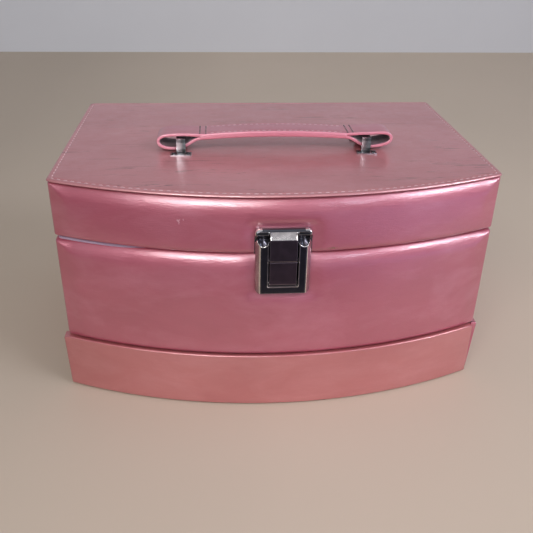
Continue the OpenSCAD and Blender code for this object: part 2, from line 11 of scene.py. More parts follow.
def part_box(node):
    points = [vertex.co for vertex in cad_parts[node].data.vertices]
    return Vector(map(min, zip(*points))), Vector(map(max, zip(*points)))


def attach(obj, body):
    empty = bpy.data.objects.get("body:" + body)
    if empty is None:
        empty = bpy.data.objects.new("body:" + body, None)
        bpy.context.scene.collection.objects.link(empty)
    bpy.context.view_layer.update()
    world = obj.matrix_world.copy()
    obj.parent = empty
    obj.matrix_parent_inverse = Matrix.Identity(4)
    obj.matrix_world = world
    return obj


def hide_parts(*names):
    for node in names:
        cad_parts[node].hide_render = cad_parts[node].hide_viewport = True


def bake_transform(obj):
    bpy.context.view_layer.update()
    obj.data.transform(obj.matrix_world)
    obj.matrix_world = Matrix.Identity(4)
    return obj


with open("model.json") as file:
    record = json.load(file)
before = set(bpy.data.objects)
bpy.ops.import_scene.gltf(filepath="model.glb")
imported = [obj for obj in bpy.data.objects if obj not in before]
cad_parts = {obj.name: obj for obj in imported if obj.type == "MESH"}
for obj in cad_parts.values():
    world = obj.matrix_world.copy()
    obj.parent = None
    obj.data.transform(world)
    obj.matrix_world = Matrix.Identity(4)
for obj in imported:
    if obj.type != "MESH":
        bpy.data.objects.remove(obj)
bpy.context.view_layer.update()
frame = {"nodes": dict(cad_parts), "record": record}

SCENE = bpy.context.scene


def mm_box(node):
    low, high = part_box(node)
    return np.array(low) * 1000.0, np.array(high) * 1000.0


# ------------------------------------------------------------------ plan of the case
cover_lo, cover_hi = mm_box("lid_cover_panel")
HALF_W, FRONT, BACK, TOP = cover_hi[0], cover_lo[1], cover_hi[1], cover_hi[2]
BOW = 31.0                                      # depth of the front's bow
BOW_R = (HALF_W * HALF_W + BOW * BOW) / (2 * BOW)
BOW_Y = FRONT + BOW_R
BODY_LOW, BODY_TOP = (corner[2] for corner in mm_box("body_wrap"))
LID_LOW, LID_TOP = (corner[2] for corner in mm_box("lid_wrap"))
PAD_FACE = mm_box("body_front_pad")[0][1]       # y of the front pad's face
CORNER_SEGS = 6                                 # segments that one edge spends on its two corners
FRONT_N, SIDE_N = 116, 54                       # straight steps of an outline's edges
ACROSS, ALONG = FRONT_N + CORNER_SEGS, SIDE_N + CORNER_SEGS
SOFT_FRONT_N, SOFT_SIDE_N = 76, 40              # the same for the linings and boxes
SOFT_ACROSS, SOFT_ALONG = SOFT_FRONT_N + CORNER_SEGS, SOFT_SIDE_N + CORNER_SEGS


def front_arc(x, inset):
    return BOW_Y - np.sqrt((BOW_R - inset) ** 2 - np.asarray(x, float) ** 2)


def level(y):
    """A straight edge, as a function of x."""
    return lambda x: np.full_like(np.asarray(x, float), y)


def smooth(t):
    t = np.clip(t, 0, 1)
    return t * t * (3 - 2 * t)


def angles(degrees, steps):
    return [math.radians(degrees * k / steps) for k in range(steps + 1)]


# ------------------------------------------------------------------ noise for uneven surfaces
def lattice_noise(points, seed):
    cell = np.floor(points).astype(np.int64)
    part = points - cell
    blend = part * part * part * (part * (part * 6 - 15) + 10)

    def value(a, b, c):
        n = (a * 73856093) ^ (b * 19349663) ^ (c * 83492791) ^ (seed * 26544357)
        n = n & 0xFFFFFFFF
        n = ((n ^ (n >> 13)) * 1274126177) & 0xFFFFFFFF
        n = n ^ (n >> 16)
        return (n & 0xFFFF) / 32767.5 - 1.0

    x, y, z = cell[..., 0], cell[..., 1], cell[..., 2]
    bx, by, bz = blend[..., 0], blend[..., 1], blend[..., 2]

    def row(dy, dz):
        return value(x, y + dy, z + dz) * (1 - bx) + value(x + 1, y + dy, z + dz) * bx

    low = row(0, 0) * (1 - by) + row(1, 0) * by
    high = row(0, 1) * (1 - by) + row(1, 1) * by
    return low * (1 - bz) + high * bz


def ripple(points, stretch, seed, octaves=3):
    """Layered noise in -1..1; stretch is how fast it varies per mm, overall or per axis."""
    points = np.asarray(points, float) * np.asarray(stretch)
    total, weight, weights = 0, 1.0, 0
    for k in range(octaves):
        total = total + weight * lattice_noise(points * (2 ** k) + 17.3 * k, seed + k)
        weights += weight
        weight *= 0.5
    return total / weights


# ------------------------------------------------------------------ outlines
def bezier(start, control, end, t):
    return (1 - t) ** 2 * start + 2 * t * (1 - t) * control + t * t * end


def edge_params(length, corner, steps):
    head = np.array([0, corner / 3, 2 * corner / 3, corner])
    middle = np.linspace(corner, length - corner, steps + 1)[1:-1]
    return np.concatenate([head, middle, length - head[::-1]])


def quad_outline(left, right, front, back, corner, front_n, side_n):
    """Closed outline with rounded corners: front (left to right), right, back, left."""
    across = edge_params(right - left, corner, front_n)
    up_right = edge_params(back(right) - front(right), corner, side_n)
    up_left = edge_params(back(left) - front(left), corner, side_n)
    edges = [np.stack([left + across, front(left + across)], 1),
             np.stack([np.full_like(up_right, right), front(right) + up_right], 1),
             np.stack([right - across, back(right - across)], 1),
             np.stack([np.full_like(up_left, left), back(left) - up_left], 1)]
    outline = []
    for k, edge in enumerate(edges):
        before, after = edges[k - 1], edges[(k + 1) % 4]
        rounded = edge.copy()
        for m in range(4):
            rounded[m] = bezier(before[-4], edge[0], edge[3], 0.5 * (1 + m / 3))
            rounded[-1 - m] = bezier(edge[-4], edge[-1], after[3], 0.5 * (1 - m / 3))
        outline.append(rounded[:-1])
    return np.concatenate(outline)


def plan_outline(side, front, back, corner, front_n=FRONT_N, side_n=SIDE_N):
    """The case's plan, moved in by separate insets at the sides, front and back."""
    return quad_outline(-(HALF_W - side), HALF_W - side, lambda x: front_arc(x, front),
                        level(BACK - back), corner, front_n, side_n)


def at_height(outline, z):
    return np.column_stack([outline, np.full(len(outline), z)])


def front_weight(outline):
    """1 along the front, easing to 0 at its corners and everywhere else."""
    weight = np.zeros(len(outline))
    x = outline[:ACROSS + 1, 0]
    weight[:ACROSS + 1] = smooth((np.abs(outline[0, 0]) - np.abs(x)) / 14.0)
    return weight


def outward(outline):
    step = np.roll(outline, -1, 0) - np.roll(outline, 1, 0)
    normal = np.stack([step[:, 1], -step[:, 0]], 1)
    return normal / np.linalg.norm(normal, axis=1)[:, None]


def round_poly(points, radii, steps=5):
    """Rounds the corners of a coarse polygon and resamples its straight edges."""
    points = [np.asarray(p, float) for p in points]
    out = []
    for i, corner in enumerate(points):
        before, after = points[i - 1], points[(i + 1) % len(points)]
        to_before = (before - corner) / np.linalg.norm(before - corner)
        to_after = (after - corner) / np.linalg.norm(after - corner)
        start, end = corner + to_before * radii[i], corner + to_after * radii[i]
        out += [bezier(start, corner, end, k / steps) for k in range(steps + 1)]
        run_end = after - to_after * radii[(i + 1) % len(points)]
        pieces = max(1, int(np.linalg.norm(run_end - end) / 5))
        out += [end + (run_end - end) * k / pieces for k in range(1, pieces)]
    return np.array(out)


# ------------------------------------------------------------------ meshes
class Build:
    """Collects points and faces from lofted loops; all loops of one loft have equal counts."""

    def __init__(self):
        self.blocks, self.faces, self.count = [], [], 0

    def add(self, points):
        start = self.count
        self.blocks.append(np.asarray(points, float))
        self.count += len(points)
        return start

    def loops(self, levels, closed=False, flip=False):
        starts = [self.add(loop) for loop in levels]
        pairs = list(zip(starts[:-1], starts[1:]))
        if closed:
            pairs.append((starts[-1], starts[0]))
        i = np.arange(len(levels[0]))
        j = (i + 1) % len(i)
        for a, b in pairs:
            quads = np.stack([a + i, a + j, b + j, b + i], 1)
            self.faces += (quads[:, ::-1] if flip else quads).tolist()
        return starts

    def close(self, start, count, flip=False):
        face = list(range(start, start + count))
        self.faces.append(face[::-1] if flip else face)

    def cap(self, start, loop, across, along, up=True, lift=None):
        """Fills a four-edged loop with a grid that follows its edges."""
        front, right = loop[:across + 1], loop[across:across + along + 1]
        back = loop[across + along:2 * across + along + 1][::-1]
        left = np.concatenate([loop[2 * across + along:], loop[:1]])[::-1]
        u = ((front[:, 0] - front[0, 0]) / (front[-1, 0] - front[0, 0]))[:, None, None]
        v = ((right[:, 1] - right[0, 1]) / (right[-1, 1] - right[0, 1]))[None, :, None]
        grid = (1 - v) * front[:, None] + v * back[:, None] + (1 - u) * left[None] \
            + u * right[None] - ((1 - u) * (1 - v) * front[0] + u * (1 - v) * front[-1]
                                 + (1 - u) * v * back[0] + u * v * back[-1])
        if lift is not None:
            du = np.minimum(u, 1 - u)[..., 0] * np.ones((1, along + 1))
            dv = np.minimum(v, 1 - v)[..., 0] * np.ones((across + 1, 1))
            grid[..., 2] += lift(grid, du, dv)
        index = np.zeros((across + 1, along + 1), int)
        inner = self.add(grid[1:-1, 1:-1].reshape(-1, 3))
        inner_ids = np.arange((across - 1) * (along - 1)).reshape(across - 1, along - 1)
        index[1:-1, 1:-1] = inner + inner_ids
        index[:, 0] = start + np.arange(across + 1)
        index[across, :] = start + across + np.arange(along + 1)
        index[:, along] = start + across + along + (across - np.arange(across + 1))
        index[0, 1:] = start + (2 * (across + along) - np.arange(1, along + 1))
        quads = np.stack([index[:-1, :-1], index[1:, :-1], index[1:, 1:], index[:-1, 1:]], -1)
        quads = quads.reshape(-1, 4)
        self.faces += (quads if up else quads[:, ::-1]).tolist()

    def mesh(self):
        return np.concatenate(self.blocks), self.faces


def merge(meshes):
    points, faces, offset = [], [], 0
    for part_points, part_faces in meshes:
        points.append(part_points)
        faces += [[i + offset for i in face] for face in part_faces]
        offset += len(part_points)
    return np.concatenate(points), faces


def make_piece(name, mesh, body, material, replaces, subsurf=0, angle=None, extra=()):
    """Makes an object from (points in mm, faces); angle marks edges sharper than it as sharp."""
    points, faces = mesh
    data = bpy.data.meshes.new(name)
    data.from_pydata((np.asarray(points) * 0.001).tolist(), [], faces)
    data.validate()
    data.update()
    data.polygons.foreach_set("use_smooth", [True] * len(data.polygons))
    if angle:
        data.set_sharp_from_angle(angle=math.radians(angle))
    piece = bpy.data.objects.new(name, data)
    SCENE.collection.objects.link(piece)
    for each in (material, *extra):
        data.materials.append(each)
    if subsurf:
        modifier = piece.modifiers.new("smooth", "SUBSURF")
        modifier.levels = modifier.render_levels = subsurf
    if body:
        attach(piece, body)
    if replaces:
        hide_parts(*replaces)
    return piece


# ------------------------------------------------------------------ shader nodes
class Net:
    """Adds shader nodes to a material or world; each method returns an output socket."""

    def __init__(self, owner, coordinates="Object"):
        self.owner, self.tree = owner, owner.node_tree
        self.place = self.node("TexCoord").outputs[coordinates]

    def feed(self, socket, value):
        if isinstance(value, bpy.types.NodeSocket):
            self.tree.links.new(value, socket)
        elif socket.type == "RGBA":
            socket.default_value = (*value[:3], 1)
        else:
            socket.default_value = value

    def node(self, kind, inputs=None, **settings):
        made = self.tree.nodes.new("ShaderNode" + kind)
        for key, value in settings.items():
            setattr(made, key, value)
        for key, value in (inputs or {}).items():
            self.feed(made.inputs[key], value)
        return made

    def mapping(self, stretch=(1, 1, 1), turn=(0, 0, 0), shift=(0, 0, 0)):
        return self.node("Mapping", {"Scale": stretch, "Rotation": turn, "Location": shift,
                                     "Vector": self.place}).outputs[0]

    def noise(self, scale, detail=3, rough=0.5, distort=0.0, **placing):
        return self.node("TexNoise", {"Scale": scale, "Detail": detail, "Roughness": rough,
                                      "Distortion": distort,
                                      "Vector": self.mapping(**placing)}).outputs[0]

    def voronoi(self, scale):
        return self.node("TexVoronoi", {"Scale": scale, "Vector": self.mapping()},
                         feature="F1").outputs["Distance"]

    def ramp(self, value, *stops):
        """stops are (position, grey level or colour)."""
        made = self.node("ValToRGB", {0: value})
        elements = made.color_ramp.elements
        while len(elements) < len(stops):
            elements.new(0.5)
        for element, (position, tone) in zip(elements, stops):
            element.position = position
            element.color = (*tone, 1) if isinstance(tone, tuple) else (tone, tone, tone, 1)
        return made.outputs[0]

    def rise(self, value, start, end):
        return self.ramp(value, (start, 0.0), (end, 1.0))

    def math(self, operation, a, b=0.0, clamp=False):
        return self.node("Math", {0: a, 1: b}, operation=operation, use_clamp=clamp).outputs[0]

    def times(self, a, b):
        return self.math("MULTIPLY", a, b)

    def span(self, value, shift, scale, operation="SUBTRACT"):
        """The value shifted, then scaled."""
        return self.times(self.math(operation, value, shift), scale)

    def mix(self, share, a, b, mode="MIX"):
        return self.node("Mix", {0: share, 6: a, 7: b}, data_type="RGBA",
                         blend_type=mode).outputs[2]

    def overlay(self, color, mask, strength, over):
        return self.mix(self.times(mask, strength), color, over)

    def bump(self, height, strength, distance, below=None):
        inputs = {"Strength": strength, "Distance": distance, "Height": height}
        if below is not None:
            inputs["Normal"] = below
        return self.node("Bump", inputs).outputs[0]

    def ridges(self, start, end):
        return self.rise(self.node("NewGeometry").outputs["Pointiness"], start, end)

    def xyz(self):
        return self.node("SeparateXYZ", {0: self.place}).outputs

    def surface(self, inputs):
        """Finishes the material with a principled surface."""
        principled = self.node("BsdfPrincipled", inputs)
        self.node("OutputMaterial", {0: principled.outputs[0]})
        return self.owner


def new_net(name):
    material = bpy.data.materials.new(name)
    material.use_nodes = True
    material.node_tree.nodes.clear()
    return Net(material)


# ------------------------------------------------------------------ materials
# noise stretch of fine creases, coarse creases and blotches, by the face the fabric covers
CREASE_STRETCH = {"front": ((90, 90, 900), (26, 26, 210), (7, 7, 16)),
                  "top": ((90, 900, 900), (24, 210, 210), (7, 14, 14)),
                  "any": ((500, 500, 500), (120, 120, 120), (20, 20, 20))}


def scuffed(net, color, strength):
    """Dark streaks in patches, longer thin streaks and scattered dots."""
    streaks = net.noise(1.0, detail=5, rough=0.65, distort=1.2,
                        stretch=(26, 300, 260), turn=(0, 0, 0.30))
    patches = net.noise(13, detail=2, shift=(1.7, 0.3, 0))
    mask = net.times(net.rise(streaks, 0.60, 0.66), net.rise(patches, 0.48, 0.60))
    thin = net.noise(1.0, detail=5, rough=0.6, distort=0.6,
                     stretch=(14, 340, 260), turn=(0, 0, -0.06), shift=(2, 8, 0))
    mask = net.math("MAXIMUM", mask, net.times(net.rise(thin, 0.66, 0.70), 0.8))
    dots = net.ramp(net.voronoi(190), (0.03, 1.0), (0.11, 0.0))
    dots = net.times(dots, net.rise(net.noise(60, detail=2, shift=(4, 2, 1)), 0.60, 0.64))
    mask = net.math("MAXIMUM", mask, dots)
    return net.overlay(color, mask, strength, (0.05, 0.035, 0.035))


def marked(net, color, x, z, radius_x, radius_z, tone, shift):
    """One ragged spot on the front; places and radii in metres."""
    place = net.xyz()
    dx = net.span(place["X"], x, 1.0 / radius_x)
    dz = net.span(place["Z"], z, 1.0 / radius_z)
    reach = net.math("SQRT", net.math("ADD", net.times(dx, dx), net.times(dz, dz)))
    ragged = net.noise(900, detail=3, rough=0.6, shift=(shift, 0, 0))
    reach = net.math("ADD", reach, net.span(ragged, 0.5, 3.2))
    on_front = net.math("LESS_THAN", place["Y"], -0.09)
    return net.overlay(color, net.ramp(reach, (0.25, 0.8), (0.9, 0.0)), on_front, tone)


def leatherette(name, base, deep, pale, metallic=0.4, rough=0.36, coat=0.7, coat_rough=0.16,
                grain=1.0, wrinkle=1.0, along="front", scuffs=0.0, marks=()):
    """Pearly coated fabric under a clear gloss, with a fine grain and short creases."""
    net = new_net(name)
    fine_stretch, coarse_stretch, blotch_stretch = CREASE_STRETCH[along]
    big = net.noise(1.0, detail=4, rough=0.55, distort=0.3, stretch=blotch_stretch)
    mid = net.noise(1.0, detail=4, rough=0.6, distort=0.4,
                    stretch=tuple(3.1 * v for v in blotch_stretch), shift=(5, 1, 3))
    color = net.mix(net.rise(big, 0.33, 0.67), deep, base)
    color = net.overlay(color, net.rise(mid, 0.45, 0.75), 0.30, pale)
    fine = net.noise(1.0, detail=4, rough=0.6, distort=0.6, stretch=fine_stretch)
    coarse = net.noise(1.0, detail=3, rough=0.6, distort=0.8, stretch=coarse_stretch,
                       shift=(3, 1, 2))
    fine = net.ramp(fine, (0.40, 0.0), (0.50, 1.0), (0.60, 0.0))
    coarse = net.ramp(coarse, (0.45, 0.0), (0.50, 1.0), (0.55, 0.0))
    # the fine creases are darkened: painted shade along them
    color = net.overlay(color, fine, 0.12, deep)
    # paler on sharp ridges, found from pointiness: a painted highlight along the edges
    color = net.overlay(color, net.ridges(0.52, 0.62), 0.18, pale)
    if scuffs:
        color = scuffed(net, color, scuffs)
    for mark in marks:
        color = marked(net, color, *mark)
    normal = net.bump(net.voronoi(1500), 0.08 * grain, 0.0002)
    normal = net.bump(fine, 0.22 * wrinkle, 0.00016, normal)
    normal = net.bump(coarse, 0.14 * wrinkle, 0.00028, normal)
    normal = net.bump(mid, 0.10 * wrinkle, 0.0012, normal)
    coat_normal = net.bump(fine, 0.10 * wrinkle, 0.00016)
    coat_normal = net.bump(coarse, 0.09 * wrinkle, 0.00028, coat_normal)
    return net.surface({
        "Base Color": color, "Metallic": metallic,
        "Roughness": net.ramp(net.noise(120, detail=4, rough=0.6),
                              (0.3, rough - 0.05), (0.7, rough + 0.07)),
        "Coat Weight": coat, "Coat IOR": 2.0, "Specular IOR Level": 0.55,
        "Coat Roughness": net.ramp(mid, (0.3, coat_rough * 0.75), (0.7, coat_rough * 1.35)),
        "Normal": normal, "Coat Normal": coat_normal})


def velvet(name, base, dark):
    net = new_net(name)
    nap = net.noise(38, detail=4, rough=0.6, distort=0.8)
    fibre = net.noise(1900, detail=2, rough=0.7)
    color = net.mix(net.rise(nap, 0.35, 0.7), dark, base)
    color = net.overlay(color, fibre, 0.35, dark)
    normal = net.bump(nap, 0.25, 0.0006, net.bump(fibre, 0.5, 0.0002))
    return net.surface({"Base Color": color, "Roughness": 0.92, "Sheen Weight": 0.9,
                        "Sheen Roughness": 0.35, "Sheen Tint": (1.0, 0.93, 0.98),
                        "Specular IOR Level": 0.25, "Normal": normal})


def metal(name, base, rough, smudge, scratch, line_stretch):
    net = new_net(name)
    smudges = net.noise(90, detail=5, rough=0.6, distort=0.5)
    lines = net.noise(1.0, detail=3, rough=0.6, stretch=line_stretch)
    color = net.mix(net.rise(smudges, 0.35, 0.75), tuple(c * 0.86 for c in base),
                    tuple(c * 1.1 for c in base))
    uneven = net.math("ADD", net.times(smudges, smudge), net.times(lines, scratch * 0.25))
    middle = rough - (smudge + scratch * 0.25) * 0.5
    normal = net.bump(smudges, 0.15, 0.0003, net.bump(lines, scratch * 0.4, 0.00004))
    return net.surface({"Base Color": color, "Metallic": 1.0, "Normal": normal,
                        "Roughness": net.math("ADD", uneven, middle, clamp=True)})


def dark_plate(name, base, rough, ridge_glint, coat_rough=0.06):
    """Plating with a coat, lightened on its ridges: a painted glint."""
    net = new_net(name)
    smudges = net.noise(140, detail=4, rough=0.6, distort=0.5)
    lines = net.noise(1.0, detail=3, rough=0.6, stretch=(1500, 1500, 60))
    color = net.mix(net.rise(smudges, 0.35, 0.75), tuple(c * 0.8 for c in base),
                    tuple(c * 1.25 for c in base))
    # painted glint: ridges, found from pointiness, are lightened towards a pale colour
    color = net.overlay(color, net.ridges(0.50, 0.60), 0.85, ridge_glint)
    uneven = net.math("ADD", net.times(smudges, 0.10), net.times(lines, 0.06))
    normal = net.bump(smudges, 0.10, 0.0002, net.bump(lines, 0.08, 0.00004))
    return net.surface({"Base Color": color, "Metallic": 0.92, "Coat Weight": 0.6,
                        "Coat Roughness": coat_rough, "Normal": normal,
                        "Roughness": net.math("ADD", uneven, rough - 0.08, clamp=True)})


def banded_chrome(name):
    """Plating of the staples: dark, with broken bands of painted reflection across it by height,
    and a painted highlight on its ridges.
    """
    net = new_net(name)
    low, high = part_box("handle_staples")
    height = net.span(net.xyz()["Z"], low[2], 1.0 / (high[2] - low[2]))
    broken = net.noise(520, detail=4, rough=0.65, distort=0.6, stretch=(1, 1, 1.6))
    height = net.math("ADD", height, net.span(broken, 0.5, 0.20))
    # brightness set by height: painted reflections of the surroundings
    bands = net.ramp(height, (0.0, 0.30), (0.05, 0.34), (0.11, 0.045), (0.27, 0.05),
                     (0.36, 0.22), (0.60, 0.17), (0.72, 0.26), (0.80, 0.035), (0.92, 0.03),
                     (1.0, 0.24))
    color = net.mix(bands, (0.0, 0.0, 0.0), (0.97, 0.97, 1.0))
    # painted highlight on the ridges, found from pointiness
    color = net.overlay(color, net.ridges(0.53, 0.66), 0.7, (0.62, 0.62, 0.66))
    return net.surface({"Base Color": color, "Metallic": 0.95, "Coat Weight": 0.25,
                        "Roughness": net.ramp(broken, (0.3, 0.10), (0.7, 0.26)),
                        "Coat Roughness": 0.08, "Normal": net.bump(broken, 0.22, 0.0003)})


def fibreboard(name):
    net = new_net(name)
    fine = net.noise(700, detail=4, rough=0.7)
    flakes = net.noise(1.0, detail=4, rough=0.6, distort=1.0, stretch=(120, 120, 500))
    color = net.mix(flakes, (0.30, 0.20, 0.12), (0.46, 0.33, 0.21))
    color = net.overlay(color, net.rise(fine, 0.55, 0.75), 0.5, (0.16, 0.10, 0.06))
    return net.surface({"Base Color": color, "Roughness": 0.85,
                        "Normal": net.bump(fine, 0.4, 0.0002)})


def thread(name, base, dark):
    net = new_net(name)
    twist = net.noise(900, detail=3, rough=0.6, distort=1.0)
    return net.surface({"Base Color": net.mix(twist, dark, base), "Roughness": 0.55,
                        "Sheen Weight": 0.4, "Normal": net.bump(twist, 0.6, 0.0002)})


def mirror(name):
    net = new_net(name)
    smudges = net.noise(30, detail=5, rough=0.6, distort=0.6)
    return net.surface({"Base Color": net.mix(smudges, (0.84, 0.87, 0.88), (0.92, 0.94, 0.95)),
                        "Metallic": 1.0,
                        "Roughness": net.ramp(smudges, (0.4, 0.015), (0.8, 0.06))})


# spots on the front: x, z, radius along x, radius along z, colour, noise shift
FRONT_MARKS = ((-0.0656, 0.1438, 0.0013, 0.0019, (0.86, 0.50, 0.56), 1.0),
               (-0.0625, 0.1446, 0.0008, 0.0006, (0.80, 0.42, 0.48), 2.0),
               (0.0318, 0.1246, 0.0034, 0.0011, (0.20, 0.085, 0.035), 3.0))
PINK = leatherette("leatherette_pink", base=(0.55, 0.120, 0.176), deep=(0.45, 0.088, 0.130),
                   pale=(0.72, 0.27, 0.35), metallic=0.27, coat=0.85, coat_rough=0.20,
                   marks=FRONT_MARKS)
# the top panel's pink is greyer than the sides': a painted reflection of the grey surround
PANEL = leatherette("leatherette_panel", base=(0.60, 0.235, 0.245), deep=(0.50, 0.180, 0.19),
                    pale=(0.68, 0.33, 0.34), metallic=0.35, along="top", scuffs=0.70,
                    coat_rough=0.13)
DRAWER_PINK = leatherette("leatherette_drawer", base=(0.62, 0.20, 0.205),
                          deep=(0.52, 0.145, 0.15), pale=(0.74, 0.32, 0.33), wrinkle=0.6,
                          coat=0.8)
STRAP = leatherette("leatherette_strap", base=(0.60, 0.20, 0.25), deep=(0.50, 0.15, 0.19),
                    pale=(0.76, 0.38, 0.44), metallic=0.35, rough=0.34, grain=0.7,
                    along="top", wrinkle=0.5)
STRAP_EDGE = leatherette("strap_painted_edge", base=(0.78, 0.27, 0.34), deep=(0.68, 0.21, 0.28),
                         pale=(0.86, 0.38, 0.45), metallic=0.1, rough=0.38, coat=0.6,
                         grain=0.3, along="top", wrinkle=0.4)
# dark backing cloth for the loops' inner faces; its darkness is partly painted shade inside the
# loops
BACKING_AND_SHADE = velvet("backing_cloth_and_painted_shade", base=(0.20, 0.10, 0.11), dark=(0.10, 0.05, 0.055))
UNDER = leatherette("leatherette_underside", base=(0.30, 0.13, 0.16), deep=(0.22, 0.09, 0.11),
                    pale=(0.36, 0.18, 0.21), metallic=0.1, rough=0.55, coat=0.0, along="any")
VELVET = velvet("velveteen_lilac", base=(0.66, 0.52, 0.66), dark=(0.50, 0.37, 0.50))
VELVET_DEEP = velvet("velveteen_mauve", base=(0.60, 0.40, 0.52), dark=(0.44, 0.27, 0.38))
GUNMETAL = metal("gunmetal_plating", base=(0.105, 0.085, 0.10), rough=0.20, smudge=0.10,
                 scratch=0.15, line_stretch=(900, 900, 40))
SHELL_PLATING = dark_plate("black_nickel_shell", base=(0.040, 0.036, 0.052), rough=0.10,
                           ridge_glint=(0.75, 0.68, 0.72))
PLATE_PLATING = dark_plate("black_nickel_plate", base=(0.050, 0.052, 0.066), rough=0.10,
                           ridge_glint=(0.75, 0.72, 0.76))
TONGUE_PLATING = dark_plate("black_nickel_tongue", base=(0.085, 0.056, 0.080), rough=0.15,
                            coat_rough=0.10, ridge_glint=(0.75, 0.65, 0.70))
BUTTON_PLATING = dark_plate("black_nickel_button", base=(0.090, 0.056, 0.078), rough=0.16,
                            coat_rough=0.12, ridge_glint=(0.6, 0.5, 0.55))
# paler nickel for the latch's bevels, lower edges and frame line: a painted warm reflection
REFLECTION_NICKEL = dark_plate("nickel_painted_reflection", base=(0.46, 0.40, 0.40), rough=0.14,
                    ridge_glint=(0.8, 0.74, 0.72))
# near-white nickel for the latch's edges, corners, scoop rims and the tongue's slope: painted
# glints and highlights
GLINT = dark_plate("bright_nickel_edge", base=(0.78, 0.73, 0.69), rough=0.12,
                   ridge_glint=(0.92, 0.88, 0.85))
STEEL = metal("plated_steel", base=(0.60, 0.60, 0.62), rough=0.30, smudge=0.14, scratch=0.5,
              line_stretch=(40, 900, 900))
CHROME = banded_chrome("chrome_painted_reflections")
BOARD = fibreboard("fibreboard")
THREAD = thread("thread_pale_pink", base=(0.72, 0.46, 0.47), dark=(0.52, 0.29, 0.31))
# very dark thread for the bar stitches: partly the thread's colour, partly painted shade of the
# stitched grooves
THREAD_DARK = thread("thread_dark_and_painted_shade", base=(0.085, 0.055, 0.050), dark=(0.04, 0.028, 0.026))
MIRROR = mirror("silvered_glass")

# every carried-over CAD node starts with the material of its slot
SLOT_MATERIAL = {"skin_pink": PINK, "panel_pink": PANEL, "strap_pink": STRAP,
                 "underside": UNDER, "board": BOARD, "velvet": VELVET,
                 "velvet_deep": VELVET_DEEP, "roll_foam": VELVET, "mirror_glass": MIRROR,
                 "frame_pink": PINK, "gunmetal": GUNMETAL, "steel": STEEL,
                 "bright_chrome": CHROME}
slot_of = {part["node"]: part["material_slot"] for part in frame["record"]["subparts"]}
for node, piece in frame["nodes"].items():
    piece.data.materials.clear()
    piece.data.materials.append(SLOT_MATERIAL[slot_of[node]])


# ------------------------------------------------------------------ cloth under the coverings
def soften(moves, reach_v, reach_h):
    """Smooths a displacement field, kept at zero along its border."""
    for reach, axis in ((reach_v, 0), (reach_h, 1)):
        window = np.hanning(2 * reach + 3)[1:-1]
        window /= window.sum()
        margins = [(0, 0)] * 3
        margins[axis] = (reach, reach)
        padded = np.pad(moves, margins, mode="reflect", reflect_type="odd")
        length = moves.shape[axis]
        moves = sum(window[m] * np.take(padded, range(m, m + length), axis=axis)
                    for m in range(2 * reach + 1))
    return moves


def puff(rows, name, limit, pressure=2.2, frames=20):
    """Simulates a skin sewn down along its border and blown out by its filling.
    Returns the moves in mm, none longer than the limit."""
    row_count, column_count, _ = rows.shape
    index = np.arange(row_count * column_count).reshape(row_count, column_count)
    quads = np.stack([index[:-1, :-1], index[:-1, 1:], index[1:, 1:], index[1:, :-1]], -1)
    data = bpy.data.meshes.new(name)
    data.from_pydata((rows.reshape(-1, 3) * 0.001).tolist(), [], quads.reshape(-1, 4).tolist())
    data.update()
    skin = bpy.data.objects.new(name, data)
    SCENE.collection.objects.link(skin)
    border = np.unique(np.concatenate([index[0], index[-1], index[:, 0], index[:, -1]]))
    skin.vertex_groups.new(name="sewn").add(border.tolist(), 1.0, "ADD")
    modifier = skin.modifiers.new("Cloth", "CLOTH")
    cloth = modifier.settings
    cloth.quality = 5
    cloth.mass = 0.2
    cloth.tension_stiffness = cloth.compression_stiffness = 14
    cloth.shear_stiffness = 6
    cloth.bending_stiffness = 1.2
    cloth.air_damping = 2
    cloth.use_pressure = True
    cloth.uniform_pressure_force = pressure
    cloth.vertex_group_mass = "sewn"
    cloth.shrink_min = 0.0
    cloth.effector_weights.gravity = 0
    modifier.collision_settings.use_collision = False
    modifier.point_cache.frame_start, modifier.point_cache.frame_end = 1, frames
    for f in range(1, frames + 1):
        SCENE.frame_set(f)
    settled = skin.evaluated_get(bpy.context.evaluated_depsgraph_get())
    places = np.zeros(row_count * column_count * 3)
    settled.data.vertices.foreach_get("co", places)
    moves = places.reshape(row_count, column_count, 3) * 1000 - rows
    moves = soften(moves, 5, 14)
    SCENE.frame_set(1)
    bpy.data.objects.remove(skin)
    bpy.data.meshes.remove(data)
    length = np.linalg.norm(moves, axis=2, keepdims=True)
    return moves * np.minimum(1.0, limit / np.maximum(length, 1e-6))


# ------------------------------------------------------------------ coverings of lid and body
EDGE_SHAPE = 0.66            # how far a rounded edge runs in, for its height
TOP_FRONT_RUN = 5.3          # the same for the upper front edge, in mm
SKIN_SIDE = 0.62             # inset of the skin at the sides
SKIN_THICK = 0.6
# the skin stays flat round the latch: half width, z range and fade in mm
FLAT_HALF_W, FLAT_LOW, FLAT_HIGH, FLAT_FADE = 17.5, 94, 139.5, 5.5


